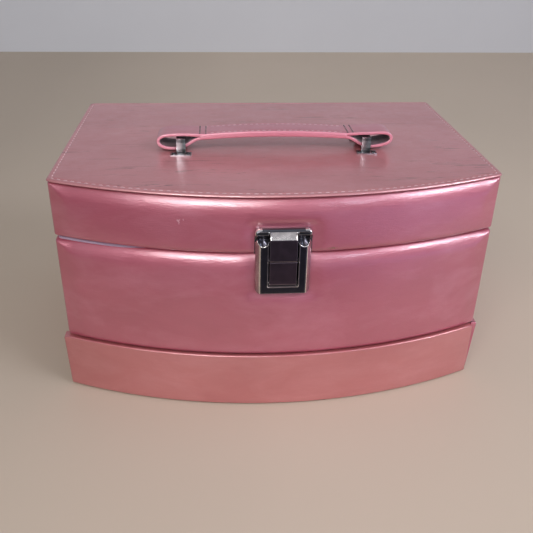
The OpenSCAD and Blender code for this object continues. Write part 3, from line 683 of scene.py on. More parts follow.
def covering(name, body, low, high, low_round, high_round, top_turn, low_turn, bulge, limit,
             seed, lift, replaces):
    """A padded covering wrapped round one tier. The rounds and turns are (side, front) pairs:
    heights of its rounded edges, and how far it turns in over the boards."""
    low_run = (EDGE_SHAPE * low_round[0], EDGE_SHAPE * low_round[1])
    high_run = (EDGE_SHAPE * high_round[0], TOP_FRONT_RUN)
    stations = []                       # side z, front z, side inset, front inset
    for a in angles(90, 10):
        rise, run = 1 - math.cos(a), 1 - math.sin(a)
        stations.append((low + low_round[0] * rise, low + low_round[1] * rise,
                         low_run[0] * run, low_run[1] * run))
    rows = max(8, int((high - low) / 2.7))
    for k in range(1, rows):
        t = k / rows
        stations.append(((low + low_round[0]) * (1 - t) + (high - high_round[0]) * t,
                         (low + low_round[1]) * (1 - t) + (high - high_round[1]) * t, 0, 0))
    for a in angles(90, 10):
        drop, run = 1 - math.sin(a), 1 - math.cos(a)
        stations.append((high - high_round[0] * drop, high - high_round[1] * drop,
                         high_run[0] * run, high_run[1] * run))
    skin = []
    for side_z, front_z, side, front in stations:
        outline = plan_outline(SKIN_SIDE + side, 1.0 + front, 1.0 + side, 2.4)
        height = side_z + (front_z - side_z) * front_weight(outline)
        skin.append(at_height(outline, height))
    skin = np.array(skin)               # rows, points, xyz
    outline = plan_outline(SKIN_SIDE, 1.0, 1.0, 2.4)
    normal = at_height(outward(outline), 0.0)
    weight = front_weight(outline)
    t = np.linspace(0, 1, len(skin))
    hump = np.clip(np.sin(np.pi * t), 0, 1) ** 0.85
    beyond_z = np.maximum(FLAT_LOW - skin[..., 2], skin[..., 2] - FLAT_HIGH)
    from_latch = np.hypot(np.maximum(0, np.abs(skin[..., 0]) - FLAT_HALF_W),
                          np.maximum(0, beyond_z))
    free = 1 - np.exp(-(from_latch / FLAT_FADE) ** 2) * (skin[..., 1] < -90)
    swell = (0.12 + (bulge - 0.12) * weight)[None, :, None]
    skin += (hump[:, None] * free)[..., None] * swell * normal[None]
    moves = puff(skin[2:-2, :ACROSS + 1], name + "_cloth", limit)
    skin[2:-2, :ACROSS + 1] += moves * free[2:-2, :ACROSS + 1, None]
    # slight unevenness of a hand-stretched covering
    uneven = ripple(skin, (0.012, 0.012, 0.03), seed, 2) * 0.22 \
        + ripple(skin, (0.05, 0.05, 0.22), seed + 9, 2) * 0.045
    calm = smooth((np.minimum(t, 1 - t) - 0.08) / 0.26)
    uneven = uneven * calm[:, None] * free * (0.35 + 0.65 * weight)[None]
    skin += uneven[..., None] * normal[None]
    skin[..., 2] += lift(skin)

    def ring(z, side, front):
        loop = at_height(plan_outline(side, front, side, 2.2), z)
        loop[:, 2] += lift(loop)
        return loop

    inside = [ring(high, *top_turn), ring(high - SKIN_THICK, *top_turn),
              ring(high - SKIN_THICK, 1.74, 6.9), ring(low + SKIN_THICK, 1.74, 6.9),
              ring(low + SKIN_THICK, *low_turn), ring(low, *low_turn)]
    build = Build()
    build.loops(list(skin) + inside, closed=True)
    make_piece(name, build.mesh(), body, PINK, replaces, subsurf=1)


def body_warp(points):
    """The body's rim has sunk at its front corners, most at the left."""
    x, y, z = points[..., 0], points[..., 1], points[..., 2]
    depth = 1.9 * smooth((-x - 76) / 74.0) + 0.8 * smooth((x - 92) / 52.0)
    return -depth * smooth((-y - 5) / 60.0) * smooth((z - (BODY_TOP - 22)) / 20.0)


def lid_warp(points):
    """The lid's lower edge lifts a little at its front left."""
    x, y, z = points[..., 0], points[..., 1], points[..., 2]
    return 0.25 * smooth((-x - 55) / 95.0) * smooth((-y - 20) / 60.0) \
        * smooth((LID_LOW + 16 - z) / 16.0)


covering("body_covering", "case", low=BODY_LOW + 0.25, high=BODY_TOP, low_round=(1.4, 1.9),
         high_round=(2.0, 12.0), top_turn=(3.0, 6.0), low_turn=(4.4, 9.0), bulge=1.7,
         limit=1.2, seed=11, lift=body_warp, replaces=("body_front_pad", "body_wrap"))
covering("lid_covering", "lid", low=LID_LOW, high=LID_TOP, low_round=(1.4, 3.4),
         high_round=(2.2, 13.0), top_turn=(3.6, 6.7), low_turn=(4.6, 9.4), bulge=1.9,
         limit=1.0, seed=23, lift=lid_warp, replaces=("lid_front_pad", "lid_wrap"))

# ------------------------------------------------------------------ lid cover panel
# underside and outer edge: inset, height above the panel's bottom
PANEL_EDGE = ((4.5, -0.02), (2.0, -0.02), (0.7, 0), (0.3, 0.05), (0.08, 0.14), (0.0, 0.32),
              (0.02, 0.46), (0.14, 0.70), (0.30, 0.96), (0.46, 1.18), (0.66, 1.35),
              (0.96, 1.45), (1.3, 1.49))
# stitch groove and flat: inset, height above 0.05 mm below the top
PANEL_GROOVE = ((1.6, -0.01), (2.2, -0.02), (2.7, -0.12), (3.0, -0.30), (3.3, -0.42),
                (3.6, -0.30), (4.0, -0.10), (4.7, 0.0), (5.8, 0.04), (7.4, 0.05), (10, 0.05))
GROOVE_INSET, GROOVE_DEPTH = 3.3, 0.42


def cover_panel():
    bottom = LID_TOP + 0.08
    profile = [(inset, bottom + rise) for inset, rise in PANEL_EDGE]
    profile += [(inset, TOP + rise - 0.05) for inset, rise in PANEL_GROOVE]
    levels = []
    for inset, z in profile:
        loop = at_height(plan_outline(inset, inset, inset, max(1.6, 3.2 - 0.2 * inset)), z)
        if z > bottom + (TOP - bottom) / 2 - 0.05:
            loop[:, 2] += 0.10 * ripple(loop, 0.03, 5) + 0.03 * ripple(loop, (0.05, 0.4, 0.4), 6, 2)
        levels.append(loop)

    def crown(grid, du, dv):
        inner = smooth(np.minimum(du * 2 * HALF_W, dv * 200) / 30.0)
        uneven = 0.22 * ripple(grid, 0.022, 5) + 0.05 * ripple(grid, (0.05, 0.3, 0.3), 6, 2)
        return inner * (0.20 + uneven)

    build = Build()
    starts = build.loops(levels)
    build.cap(starts[0], levels[0], ACROSS, ALONG, up=False)
    build.cap(starts[-1], levels[-1], ACROSS, ALONG, lift=crown)
    make_piece("lid_cover_leather", build.mesh(), "lid", PANEL, ("lid_cover_panel",),
               subsurf=1)


def capsule(length, radius, flat=0.7, sides=8, rings=7):
    """One stitch: a rounded thread lying along x, flattened, with its ends diving down."""
    points, faces = [], []
    for k in range(rings):
        t = k / (rings - 1) * 2 - 1
        ring_r = radius * math.sqrt(max(0.02, 1 - abs(t) ** 3.2))
        drop = -0.42 * abs(t) ** 4
        for m in range(sides):
            a = 2 * math.pi * m / sides
            points.append((t * length / 2, ring_r * math.cos(a),
                           ring_r * flat * math.sin(a) + drop))
    for k in range(rings - 1):
        for m in range(sides):
            here, after, n = k * sides, (k + 1) * sides, (m + 1) % sides
            faces.append((here + m, after + m, after + n, here + n))
    faces.append(tuple(range(sides)))
    faces.append(tuple(range((rings - 1) * sides, rings * sides))[::-1])
    return np.array(points), faces


def stitches(path, pitch, length, radius, lift, seed, up=1.0, jitter=0.12):
    """Lays stitches end to end along a path, each turned by a small random angle."""
    travel = np.concatenate([[0], np.cumsum(np.linalg.norm(np.diff(path, axis=0), axis=1))])
    total = travel[-1]
    count = int(total / pitch)
    random = np.random.RandomState(seed)
    stitch, stitch_faces = capsule(length, radius)

    def point_at(distance):
        return np.array([np.interp(distance, travel, path[:, axis]) for axis in range(3)])

    parts = []
    for k in range(count):
        centre = (k + 0.5) * total / count
        along = point_at(min(centre + 0.8, total)) - point_at(max(centre - 0.8, 0))
        along /= np.linalg.norm(along)
        across = np.cross(np.array([0, 0, up]), along)
        across /= np.linalg.norm(across)
        over = np.cross(along, across)
        a = jitter * random.uniform(-1, 1)
        turned = along * math.cos(a) + across * math.sin(a)
        turned_across = -along * math.sin(a) + across * math.cos(a)
        parts.append((point_at(centre) + over * lift + stitch[:, :1] * turned
                      + stitch[:, 1:2] * turned_across + stitch[:, 2:3] * over, stitch_faces))
    return merge(parts)


def panel_stitches():
    """Along the left side, the front and the right side."""
    outline = plan_outline(GROOVE_INSET, GROOVE_INSET, GROOVE_INSET, 2.4)
    path = at_height(np.concatenate([outline[-ALONG:], outline[:ACROSS + ALONG + 1]]), TOP)
    path[:, 2] += -GROOVE_DEPTH + 0.10 * ripple(path, 0.03, 5)
    mesh = stitches(path, pitch=4.9, length=3.3, radius=0.36, lift=0.16, seed=3)
    make_piece("lid_edge_stitches", mesh, "lid", THREAD, ())


cover_panel()
panel_stitches()

# ------------------------------------------------------------------ base covering
_, base_hi = mm_box("base_wrap")
BASE_X, BASE_TOP = base_hi[0], base_hi[2]


def base_covering():
    """A band round the left, back and right of the base, tapering towards its foot."""
    inner_x = 147.0 - 0.15
    front_left = float(front_arc(BASE_X - 1, 8.9)) + 0.3
    front_right = float(front_arc(BASE_X - 1, -0.4)) + 0.2
    inner_back = BACK - 4.1
    corners = (                         # x, y, corner radius
        (BASE_X, front_right, 0.9), (BASE_X, BACK, 3.0), (-BASE_X, BACK, 3.0),
        (-BASE_X, front_left, 0.9), (-inner_x, front_left, 0.9), (-inner_x, inner_back, 1.5),
        (inner_x, inner_back, 1.5), (inner_x + 1.3, -80, 0.3), (147.9, front_right + 0.6, 0.9))
    plan = round_poly([corner[:2] for corner in corners], [corner[2] for corner in corners])
    normal = outward(plan)
    levels = [                          # z, inset, height its taper is taken at
        (0.85, 1.1, 0.8), (0.95, 0.45, 0.9), (1.4, 0.08, 1.4), (2.2, 0, 2.2),
        *[(z, 0, z) for z in np.linspace(5, 38, 12)],
        (40.0, 0, 40), (BASE_TOP - 0.9, 0.05, 41), (BASE_TOP - 0.35, 0.3, BASE_TOP),
        (BASE_TOP - 0.02, 0.95, BASE_TOP)]
    loops = []
    for z, inset, taper_z in levels:
        loop = at_height(plan - normal * inset, z)
        loop[:, 0] *= 1 - 0.0165 * (BASE_TOP - taper_z) / BASE_TOP
        loop[:, :2] += normal * (0.18 * ripple(loop, (0.03, 0.03, 0.06), 31))[:, None]
        loops.append(loop)
    build = Build()
    starts = build.loops(loops)
    build.close(starts[0], len(plan), flip=True)
    build.close(starts[-1], len(plan))
    make_piece("base_covering", build.mesh(), "case", PINK, ("base_wrap",),
               angle=50)


base_covering()

# ------------------------------------------------------------------ drawer front
face_lo, face_hi = mm_box("drawer_front")
DRAWER_OUT = face_lo[1] - PAD_FACE         # arc inset of the drawer front's face
DRAWER_IN = DRAWER_OUT + 8.0               # and of its inner side


def drawer_front():
    low, high = face_lo[2], face_hi[2]
    left_top, left_low, right = face_lo[0], face_lo[0] + 1.4, face_hi[0] - 0.45
    low_r, top_r = 1.4, 0.8
    welt = 1.7                             # a thin welt stands up along the upper front edge
    peak = high + welt
    profile = []                           # z, inset
    for a in reversed(angles(90, 5)):
        profile.append((low + low_r * (1 - math.sin(a)), low_r * (1 - math.cos(a))))
    profile += [(z, 0.0) for z in np.linspace(low + low_r, peak - top_r, 16)[1:-1]]
    for a in angles(90, 5):
        profile.append((peak - top_r * (1 - math.sin(a)), top_r * (1 - math.cos(a))))
    over_welt = len(profile)
    profile += [(peak - 0.04, 1.25), (peak - 0.35, 1.7), (peak - 1.0, 1.95),
                (high + 0.1, 2.05), (high, 2.5)]
    front_n, side_n = 120, 2
    across = front_n + CORNER_SEGS
    levels = []
    for k, (z, inset) in enumerate(profile):
        t = 1.0 if k >= over_welt else min(1.0, (z - low) / (peak - low))
        left = left_low + (left_top - left_low) * t
        side = inset * 0.6
        loop = quad_outline(left + side, right - side,
                            lambda x: front_arc(x, DRAWER_OUT + inset),
                            lambda x: front_arc(x, DRAWER_IN - side * 0.5),
                            1.3, front_n, side_n)
        x = loop[:, 0]
        weight, welt_weight = np.zeros(len(loop)), np.zeros(len(loop))
        weight[:across + 1] = smooth((152 - np.abs(x[:across + 1])) / 12)
        from_end = np.minimum(x[:across] - left, right - x[:across])
        welt_weight[:across] = smooth((from_end - 0.4) / 3)
        height = low + (z - low) * (1 - (1 - welt_weight) * welt / (peak - low))
        if k >= over_welt:
            height = np.maximum(height, high)
        spot = at_height(loop, height)
        uneven = ripple(spot, (0.022, 0.022, 0.05), 41) * 0.30 \
            + ripple(spot, (0.05, 0.05, 0.28), 43, 2) * 0.05
        arch = math.sin(math.pi * t)
        loop = loop + outward(loop) * ((arch ** 0.8 * 0.35 + uneven * arch) * weight)[:, None]
        if t > 0.85:                       # the upper edge wanders a little
            wander = ripple(at_height(loop, 0.0), 0.03, 47, 2)
            height = height + 0.16 * wander * (t - 0.85) / 0.15
        levels.append(at_height(loop, height))
    build = Build()
    starts = build.loops(levels)
    build.cap(starts[0], levels[0], across, side_n + CORNER_SEGS, up=False)
    build.cap(starts[-1], levels[-1], across, side_n + CORNER_SEGS)
    make_piece("drawer_front_covering", build.mesh(), "drawer", DRAWER_PINK, ("drawer_front",),
               subsurf=1)


drawer_front()

# ------------------------------------------------------------------ strap handle
grip_lo, grip_hi = mm_box("handle_grip")
STRAP_Y = (grip_lo[1] + grip_hi[1]) / 2
STRAP_W = grip_hi[1] - grip_lo[1]
GRIP_END = grip_hi[0]
STITCH_IN = 2.7                            # stitch rows' distance from the strap's edges
STRAP_FACE_N, STRAP_EDGE_N = 15, 7         # section points on a face and on an edge
# the loop over a staple and back under its bar: x, height above the lid
LOOP_PATH = ((GRIP_END - 6, 12.35), (GRIP_END + 2, 12.35), (58, 12.55), (64, 12.9), (70, 12.8),
             (75.7, 12.40), (79.5, 11.25), (81.6, 9.1), (81.4, 6.6), (79.3, 4.6), (75.6, 3.35),
             (71, 3.0), (66, 3.5), (61.5, 5.6), (57.5, 8.1), (GRIP_END + 2, 10.0),
             (GRIP_END - 6, 10.6))
# dark rows across the strap: x, +1 above or -1 below
BAR_ROWS = {"left": ((48.3, 1), (52.5, 1), (48.3, -1)),
            "right": ((52.6, 1), (56.4, 1), (48.3, -1))}


def grip_mid(x):
    """Height of the grip's middle plane, and its thickness."""
    a = np.abs(x) / GRIP_END
    return TOP + 13.15 - 1.9 * a ** 2, 4.1 - 0.35 * smooth((a - 0.85) / 0.15)


def strap_section(width, thick, groove):
    """Section in (y, height): rolled edges, a stitch groove near each, slightly crowned."""
    half_w, half_t = width / 2, thick / 2
    edge = min(0.9, half_t)
    y = np.array([-half_w + edge, -half_w + 1.7, -half_w + 2.3, -half_w + STITCH_IN,
                  -half_w + 3.1, -half_w + 3.8, -width / 4, 0])
    y = np.concatenate([y, -y[:-1][::-1]])
    off_groove = np.abs(np.abs(y) - (half_w - STITCH_IN))
    z = half_t + 0.22 * (1 - (2 * y / width) ** 2) - groove * np.exp(-(off_groove / 0.42) ** 2)
    rolled = []
    for a in np.linspace(0, math.pi, STRAP_EDGE_N + 2)[1:-1]:
        rolled.append((half_w - edge + edge * abs(math.sin(a)) ** 0.7,
                       half_t * math.copysign(abs(math.cos(a)) ** 0.55, math.cos(a))))
    half = np.concatenate([np.column_stack([y, z]), rolled])
    return np.concatenate([half, -half])


def sweep(path_x, path_z, normal_x, normal_z, width, thick, groove):
    """Sweeps the strap section along a path in the x-z plane; thick has a value per point."""
    levels = []
    for x, z, nx, nz, thickness in zip(path_x, path_z, normal_x, normal_z, thick):
        section = strap_section(width, thickness, groove)
        levels.append(np.column_stack([x + nx * section[:, 1], STRAP_Y + section[:, 0],
                                       z + nz * section[:, 1]]))
    build = Build()
    starts = build.loops(levels, flip=True)
    build.close(starts[0], len(levels[0]))
    build.close(starts[-1], len(levels[0]), flip=True)
    return build.mesh()


def spline(points, count):
    """Catmull-Rom curve through the points, resampled evenly."""
    points = np.asarray(points, float)
    ends = 2 * points[0] - points[1], 2 * points[-1] - points[-2]
    points = np.vstack([ends[0], points, ends[1]])
    curve = []
    for i in range(1, len(points) - 2):
        before, start, end, after = points[i - 1:i + 3]
        for t in np.linspace(0, 1, 24, endpoint=False):
            curve.append(0.5 * (2 * start + (end - before) * t
                                + (2 * before - 5 * start + 4 * end - after) * t ** 2
                                + (3 * start - before - 3 * end + after) * t ** 3))
    curve = np.array(curve + [points[-2]])
    travel = np.concatenate([[0], np.cumsum(np.linalg.norm(np.diff(curve, axis=0), axis=1))])
    even = np.linspace(0, travel[-1], count)
    return np.column_stack([np.interp(even, travel, column) for column in curve.T])


def mirrored(mesh, sign):
    """Puts a mesh made at the right on the side given by the sign."""
    points, faces = mesh
    points[:, 0] *= sign
    return points, [face[::-1] for face in faces] if sign < 0 else faces


def grip_mesh():
    x = np.linspace(0, GRIP_END + 0.8, 44)
    z, thick = grip_mid(x)
    slope = np.gradient(z, x)
    thick = thick * (1 - 0.45 * smooth((x - (GRIP_END - 1.0)) / 1.8))
    return sweep(x, z, -slope / np.hypot(1, slope), 1 / np.hypot(1, slope), STRAP_W, thick,
                 groove=0.30)


def loop_mesh():
    path = spline([(x, TOP + height) for x, height in LOOP_PATH], 96)
    along = np.gradient(path, axis=0)
    along /= np.linalg.norm(along, axis=1)[:, None]
    return sweep(path[:, 0], path[:, 1], -along[:, 1], along[:, 0], STRAP_W - 0.5,
                 np.full(len(path), 2.1), groove=0.12)


def strap_half(side):
    sign = -1 if side == "left" else 1
    grip = grip_mesh()
    mesh = merge([grip, loop_mesh()])
    mesh[0][:, 2] += 0.10 * ripple(mesh[0], 0.12, 61, 2)
    points, faces = mirrored(mesh, sign)
    if side == "right":                    # the right loop is worn a little wider
        worn = smooth((points[:, 0] - 66) / 14)
        points[:, 0] += 2.6 * worn
        points[:, 2] += 1.1 * worn
    strap = make_piece("handle_strap_" + side, (points, faces), None, STRAP,
                       ("handle_loop_" + side, "handle_grip"), angle=60,
                       extra=(STRAP_EDGE, BACKING_AND_SHADE))
    half_section = STRAP_FACE_N + STRAP_EDGE_N
    for k, polygon in enumerate(strap.data.polygons):
        from_middle = abs(polygon.center.y * 1000 - STRAP_Y)
        around = (k - len(grip[1])) % (2 * half_section)
        if abs(from_middle - STRAP_W / 2) < 1.0 or len(polygon.vertices) > 4:
            polygon.material_index = 1
        # the loops' inner faces take the dark backing, partly painted shade
        elif k >= len(grip[1]) and half_section <= around < half_section + STRAP_FACE_N:
            polygon.material_index = 2

    # stitches along both edges of the grip, above and below
    rows = []
    x = np.linspace(1.2, GRIP_END - 1.2, 40)
    z, thick = grip_mid(x)
    for y in (-(STRAP_W / 2 - STITCH_IN), STRAP_W / 2 - STITCH_IN):
        for up in (1, -1):
            path = np.column_stack([x, np.full(len(x), STRAP_Y + y),
                                    z + up * (thick / 2 - 0.12)])
            rows.append(stitches(path, pitch=3.9, length=2.7, radius=0.30, lift=0.10,
                                 seed=7 + up, up=up))
    edge_rows = make_piece("handle_stitches_" + side, mirrored(merge(rows), sign), None,
                           THREAD, ())

    # dark rows across the strap where the loop is sewn shut: dark thread, made darker as painted
    # shade of the stitched grooves
    rows = []
    for x, up in BAR_ROWS[side]:
        z, thick = grip_mid(min(x, GRIP_END))
        surface_z = z + up * thick / 2
        if up > 0:
            surface_z = max(surface_z, TOP + 13.40 + 0.03 * (x - GRIP_END))
        reach = STRAP_W / 2 - 0.9
        path = np.column_stack([np.full(12, x),
                                np.linspace(STRAP_Y - reach, STRAP_Y + reach, 12),
                                np.full(12, surface_z)])
        rows.append(stitches(path, pitch=2.9, length=2.6, radius=0.50, lift=0.16,
                             seed=17 + up, up=up))
    bars = make_piece("handle_bar_stitches_" + side, mirrored(merge(rows), sign), None,
                      THREAD_DARK, ())
    for piece in (strap, edge_rows, bars):
        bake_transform(piece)


strap_half("left")
strap_half("right")


# ------------------------------------------------------------------ soft linings
def open_shell(name, levels, body, material, replaces, lift, down=False):
    """An open box with thickness: loops from the closed end over the rim and back inside."""
    build = Build()
    starts = build.loops(levels, flip=down)
    build.cap(starts[0], levels[0], SOFT_ACROSS, SOFT_ALONG, up=down)
    build.cap(starts[-1], levels[-1], SOFT_ACROSS, SOFT_ALONG, up=not down, lift=lift)
    make_piece(name, build.mesh(), body, material, replaces, subsurf=1)


def cushion(height, share, stretch, seed):
    """Uneven padding for the middle of a cap."""
    return lambda grid, du, dv: height * smooth(np.minimum(du, dv) * 8) \
        * (share + ripple(grid, stretch, seed))


def wavy(levels, amount, seed):
    return [loop + at_height(outward(loop[:, :2]), 0.0)
            * (amount * ripple(loop, 0.05, seed))[:, None] for loop in levels]


def wall_ring(inset, z, corner=3.0):
    """Outline of the space between the boards: 5 mm in at sides and back, 10.2 in front."""
    return at_height(plan_outline(5.0 + inset, 10.2 + inset, 5.0 + inset, corner,
                                  SOFT_FRONT_N, SOFT_SIDE_N), z)


def compartment_velvet():
    """Velvet over the walls and floor of the lower compartment."""
    low, high = (corner[2] for corner in mm_box("body_lining"))
    levels = [wall_ring(0.05, z) for z in (low + 0.05, low + 1.0, low + 20, low + 40, high - 0.4)]
    levels += [wall_ring(0.3, high - 0.05), wall_ring(0.75, high - 0.3)]
    levels += wavy([wall_ring(0.95, z, 3.2) for z in np.linspace(high - 1, low + 5.5, 14)],
                   0.16, 71)
    levels += [wall_ring(0.95 + 4 * (1 - math.cos(a)), low + 5.1 - 4.0 * math.sin(a), 4)
               for a in angles(90, 5)[1:]]
    open_shell("compartment_velvet", levels, "case", VELVET, ("body_lining",),
               cushion(0.35, 0.6, 0.05, 72))


def rim_velvet():
    """A velvet lip that stands above the parting line and turns out over the rim."""
    low, high = (corner[2] for corner in mm_box("inner_lip"))
    rim = BODY_TOP
    profile = (                            # side inset, front inset, z
        (6.45, 11.65, low + 0.1), (6.5, 11.7, high - 6), (6.5, 11.7, high - 1.0),
        (6.35, 11.55, high - 0.35), (6.05, 11.25, high - 0.06), (5.75, 10.95, high - 0.06),
        (5.45, 10.65, high - 0.35), (5.32, 10.52, high - 1.0), (5.32, 10.52, rim + 0.55),
        (5.15, 10.3, rim + 0.2), (4.7, 9.8, rim + 0.03), (3.4, 7.2, rim + 0.02),
        (2.75, 5.9, rim), (2.45, 5.5, rim - 0.2), (2.45, 5.5, rim - 0.6),
        (2.45, 5.55, rim - 2.4), (2.9, 6.2, rim - 2.5), (4.9, 9.9, rim - 0.62),
        (5.1, 10.3, rim - 0.9), (5.12, 10.35, low + 0.1))
    levels = []
    for side, front, z in profile:
        # the turned-out part comes further forward over the sunken left of the rim
        forward = front if front > 6.5 else front - 2.0
        plain = at_height(plan_outline(side, front, side, 2.6), z)
        sunken = at_height(plan_outline(side, forward, side, 2.6), z)
        share = smooth((-plain[:, 0] - 74) / 30.0)[:, None]
        levels.append(plain * (1 - share) + sunken * share)
    build = Build()
    build.loops(levels, closed=True)
    make_piece("rim_velvet", build.mesh(), "case", VELVET, ("inner_lip",), subsurf=1)


def lid_velvet():
    """Velvet over the ceiling and walls of the lid."""
    low, high = (corner[2] for corner in mm_box("lid_lining"))
    levels = [wall_ring(0.05, z) for z in (high - 0.05, high - 1.0, high - 10, low + 1.0)]
    levels += [wall_ring(0.3, low + 0.05), wall_ring(0.7, low + 0.3)]
    levels += wavy([wall_ring(0.85, z, 3.2) for z in np.linspace(low + 1.2, high - 4.5, 7)],
                   0.14, 75)
    levels += [wall_ring(0.85 + 3.6 * (1 - math.cos(a)), high - 4.5 + 3.65 * math.sin(a), 4)
               for a in angles(90, 5)[1:]]
    open_shell("lid_velvet", levels, "lid", VELVET, ("lid_lining",),
               cushion(-0.25, 0.7, 0.05, 76), down=True)


compartment_velvet()
rim_velvet()
lid_velvet()

# ------------------------------------------------------------------ tray and drawer
tray_lo, tray_hi = mm_box("tray_box")
TRAY_SIDE, TRAY_FRONT, TRAY_BACK = HALF_W - tray_hi[0], tray_lo[1] - FRONT, BACK - tray_hi[1]
TRAY_WALL = 2.4
_, drawer_hi = mm_box("drawer_box")
DRAWER_X, DRAWER_Y = drawer_hi[0], drawer_hi[1]
DRAWER_BOX_FRONT = DRAWER_IN + 0.05
DRAWER_WALL = 3.0
LINER = 0.8                                # thickness of the velvet liners


def tray_ring(inset, z, corner):
    return at_height(plan_outline(TRAY_SIDE + inset, TRAY_FRONT + inset, TRAY_BACK + inset,
                                  corner, SOFT_FRONT_N, SOFT_SIDE_N), z)


def drawer_ring(inset, z, corner):
    outline = quad_outline(-DRAWER_X + inset, DRAWER_X - inset,
                           lambda x: front_arc(x, DRAWER_BOX_FRONT + inset),
                           level(DRAWER_Y - inset), corner, SOFT_FRONT_N, SOFT_SIDE_N)
    return at_height(outline, z)


def lined_box(body, ring, wall, corner, liner_corner, material, seed):
    """A covered open box with a rolled rim, and the velvet liner that fits inside it."""
    low, high = (point[2] for point in mm_box(body + "_box"))
    half = wall / 2
    spots = [(1.2, low), (0.35, low + 0.3), (0.05, low + 1.2),           # inset, z
             (0.05, low + (high - low) * 0.35), (0.05, low + (high - low) * 0.7),
             (0.05, high - 1.0)]
    spots += [(half - (half - 0.05) * math.cos(a), high - 1.0 + math.sin(a))
              for a in angles(180, 8)[1:-1]]
    spots += [(wall - 0.05, z) for z in (high - 1.0, high - 6, (low + high) / 2, low + wall + 2)]
    spots += [(wall + 0.2, low + wall + 0.4), (wall + 1.2, low + wall)]
    open_shell(body + "_covered_box", [ring(inset, z, corner) for inset, z in spots], body,
               material, (body + "_box",), None)

    def liner_ring(inset, z):
        return ring(wall + inset, z, liner_corner)

    low, high = low + wall, mm_box(body + "_lining")[1][2]
    fillet = 3.0
    levels = [liner_ring(0.1, low + 0.02)]
    levels += [liner_ring(0.06, z) for z in (low + 1, (low + high) / 2, high - 0.5)]
    levels += [liner_ring(0.06 + LINER / 2 * (1 - math.cos(a)), high - 0.5 + 0.45 * math.sin(a))
               for a in angles(180, 5)[1:-1]]
    levels += wavy([liner_ring(LINER + 0.05, z)
                    for z in np.linspace(high - 0.8, low + LINER + fillet, 8)], 0.15, seed)
    levels += [liner_ring(LINER + 0.05 + fillet * (1 - math.cos(a)),
                          low + LINER + fillet - fillet * math.sin(a))
               for a in angles(90, 4)[1:]]
    open_shell(body + "_velvet", levels, body, VELVET_DEEP, (body + "_lining",),
               cushion(0.3, 0.5, 0.06, seed + 1))


lined_box("tray", tray_ring, TRAY_WALL, corner=4.0, liner_corner=3.4, material=VELVET,
          seed=81)
lined_box("drawer", drawer_ring, DRAWER_WALL, corner=3.0, liner_corner=3.0, material=PINK,
          seed=85)


def rounded_board(low, high, seed, radius=0.98, step=5.0, amount=0.10):
    """A soft board: a box with rolled edges and slightly uneven faces."""
    low, high = np.asarray(low, float), np.asarray(high, float)
    roll = np.array([0, 0.15, 0.45, 1.0])
    axes = []
    for k in range(3):
        length = high[k] - low[k]
        r = min(radius, length / 2 - 0.01)
        count = max(1, int((length - 2 * r) / step))
        middle = np.linspace(low[k] + r, high[k] - r, count + 1)[1:-1]
        stops = np.concatenate([low[k] + r * roll, middle, high[k] - r * roll[::-1]])
        axes.append(np.unique(np.round(stops, 5)))
    points, index, faces = [], {}, []

    def point_id(point):
        key = tuple(np.round(point, 4))
        if key not in index:
            index[key] = len(points)
            points.append(point)
        return index[key]

    for k in range(3):
        i, j = (k + 1) % 3, (k + 2) % 3
        for side, plane in enumerate((low[k], high[k])):
            for a in range(len(axes[i]) - 1):
                for b in range(len(axes[j]) - 1):
                    face = []
                    for m, n in ((a, b), (a + 1, b), (a + 1, b + 1), (a, b + 1)):
                        point = np.zeros(3)
                        point[k], point[i], point[j] = plane, axes[i][m], axes[j][n]
                        face.append(point_id(point))
                    faces.append(face if side else face[::-1])
    points = np.array(points)
    reach = np.minimum(radius, (high - low) / 2 - 0.005)
    core = np.clip(points, low + reach, high - reach)
    away = (points - core) / reach
    normal = away / np.maximum(np.linalg.norm(away, axis=1), 1e-9)[:, None]
    points = core + normal * reach
    return points + normal * (amount * ripple(points, 0.08, seed))[:, None], faces


def dividers(body, cross_y, side_x, front_inset, seed):
    """A board right across, one each side in front of it, and one behind in the middle."""
    low, high = mm_box(body + "_dividers")
    front = float(front_arc(side_x + 1, front_inset)) + 0.4
    boards = (((low[0] + 0.1, cross_y), (high[0] - 0.1, cross_y + 2)),
              ((-side_x - 1, front), (-side_x + 1, cross_y - 0.1)),
              ((side_x - 1, front), (side_x + 1, cross_y - 0.1)),
              ((-1, cross_y + 2.1), (1, high[1] - 0.1)))
    parts = [rounded_board((*start, low[2]), (*end, high[2]), seed + k)
             for k, (start, end) in enumerate(boards)]
    make_piece(body + "_divider_boards", merge(parts), body, VELVET_DEEP,
               (body + "_dividers",))


dividers("tray", cross_y=16, side_x=62, front_inset=TRAY_FRONT + TRAY_WALL + LINER, seed=91)
dividers("drawer", cross_y=18, side_x=50,
         front_inset=DRAWER_BOX_FRONT + DRAWER_WALL + LINER, seed=97)

ROLL_R, ROLL_PITCH, ROLL_END = 6.6, 14.0, 2.8


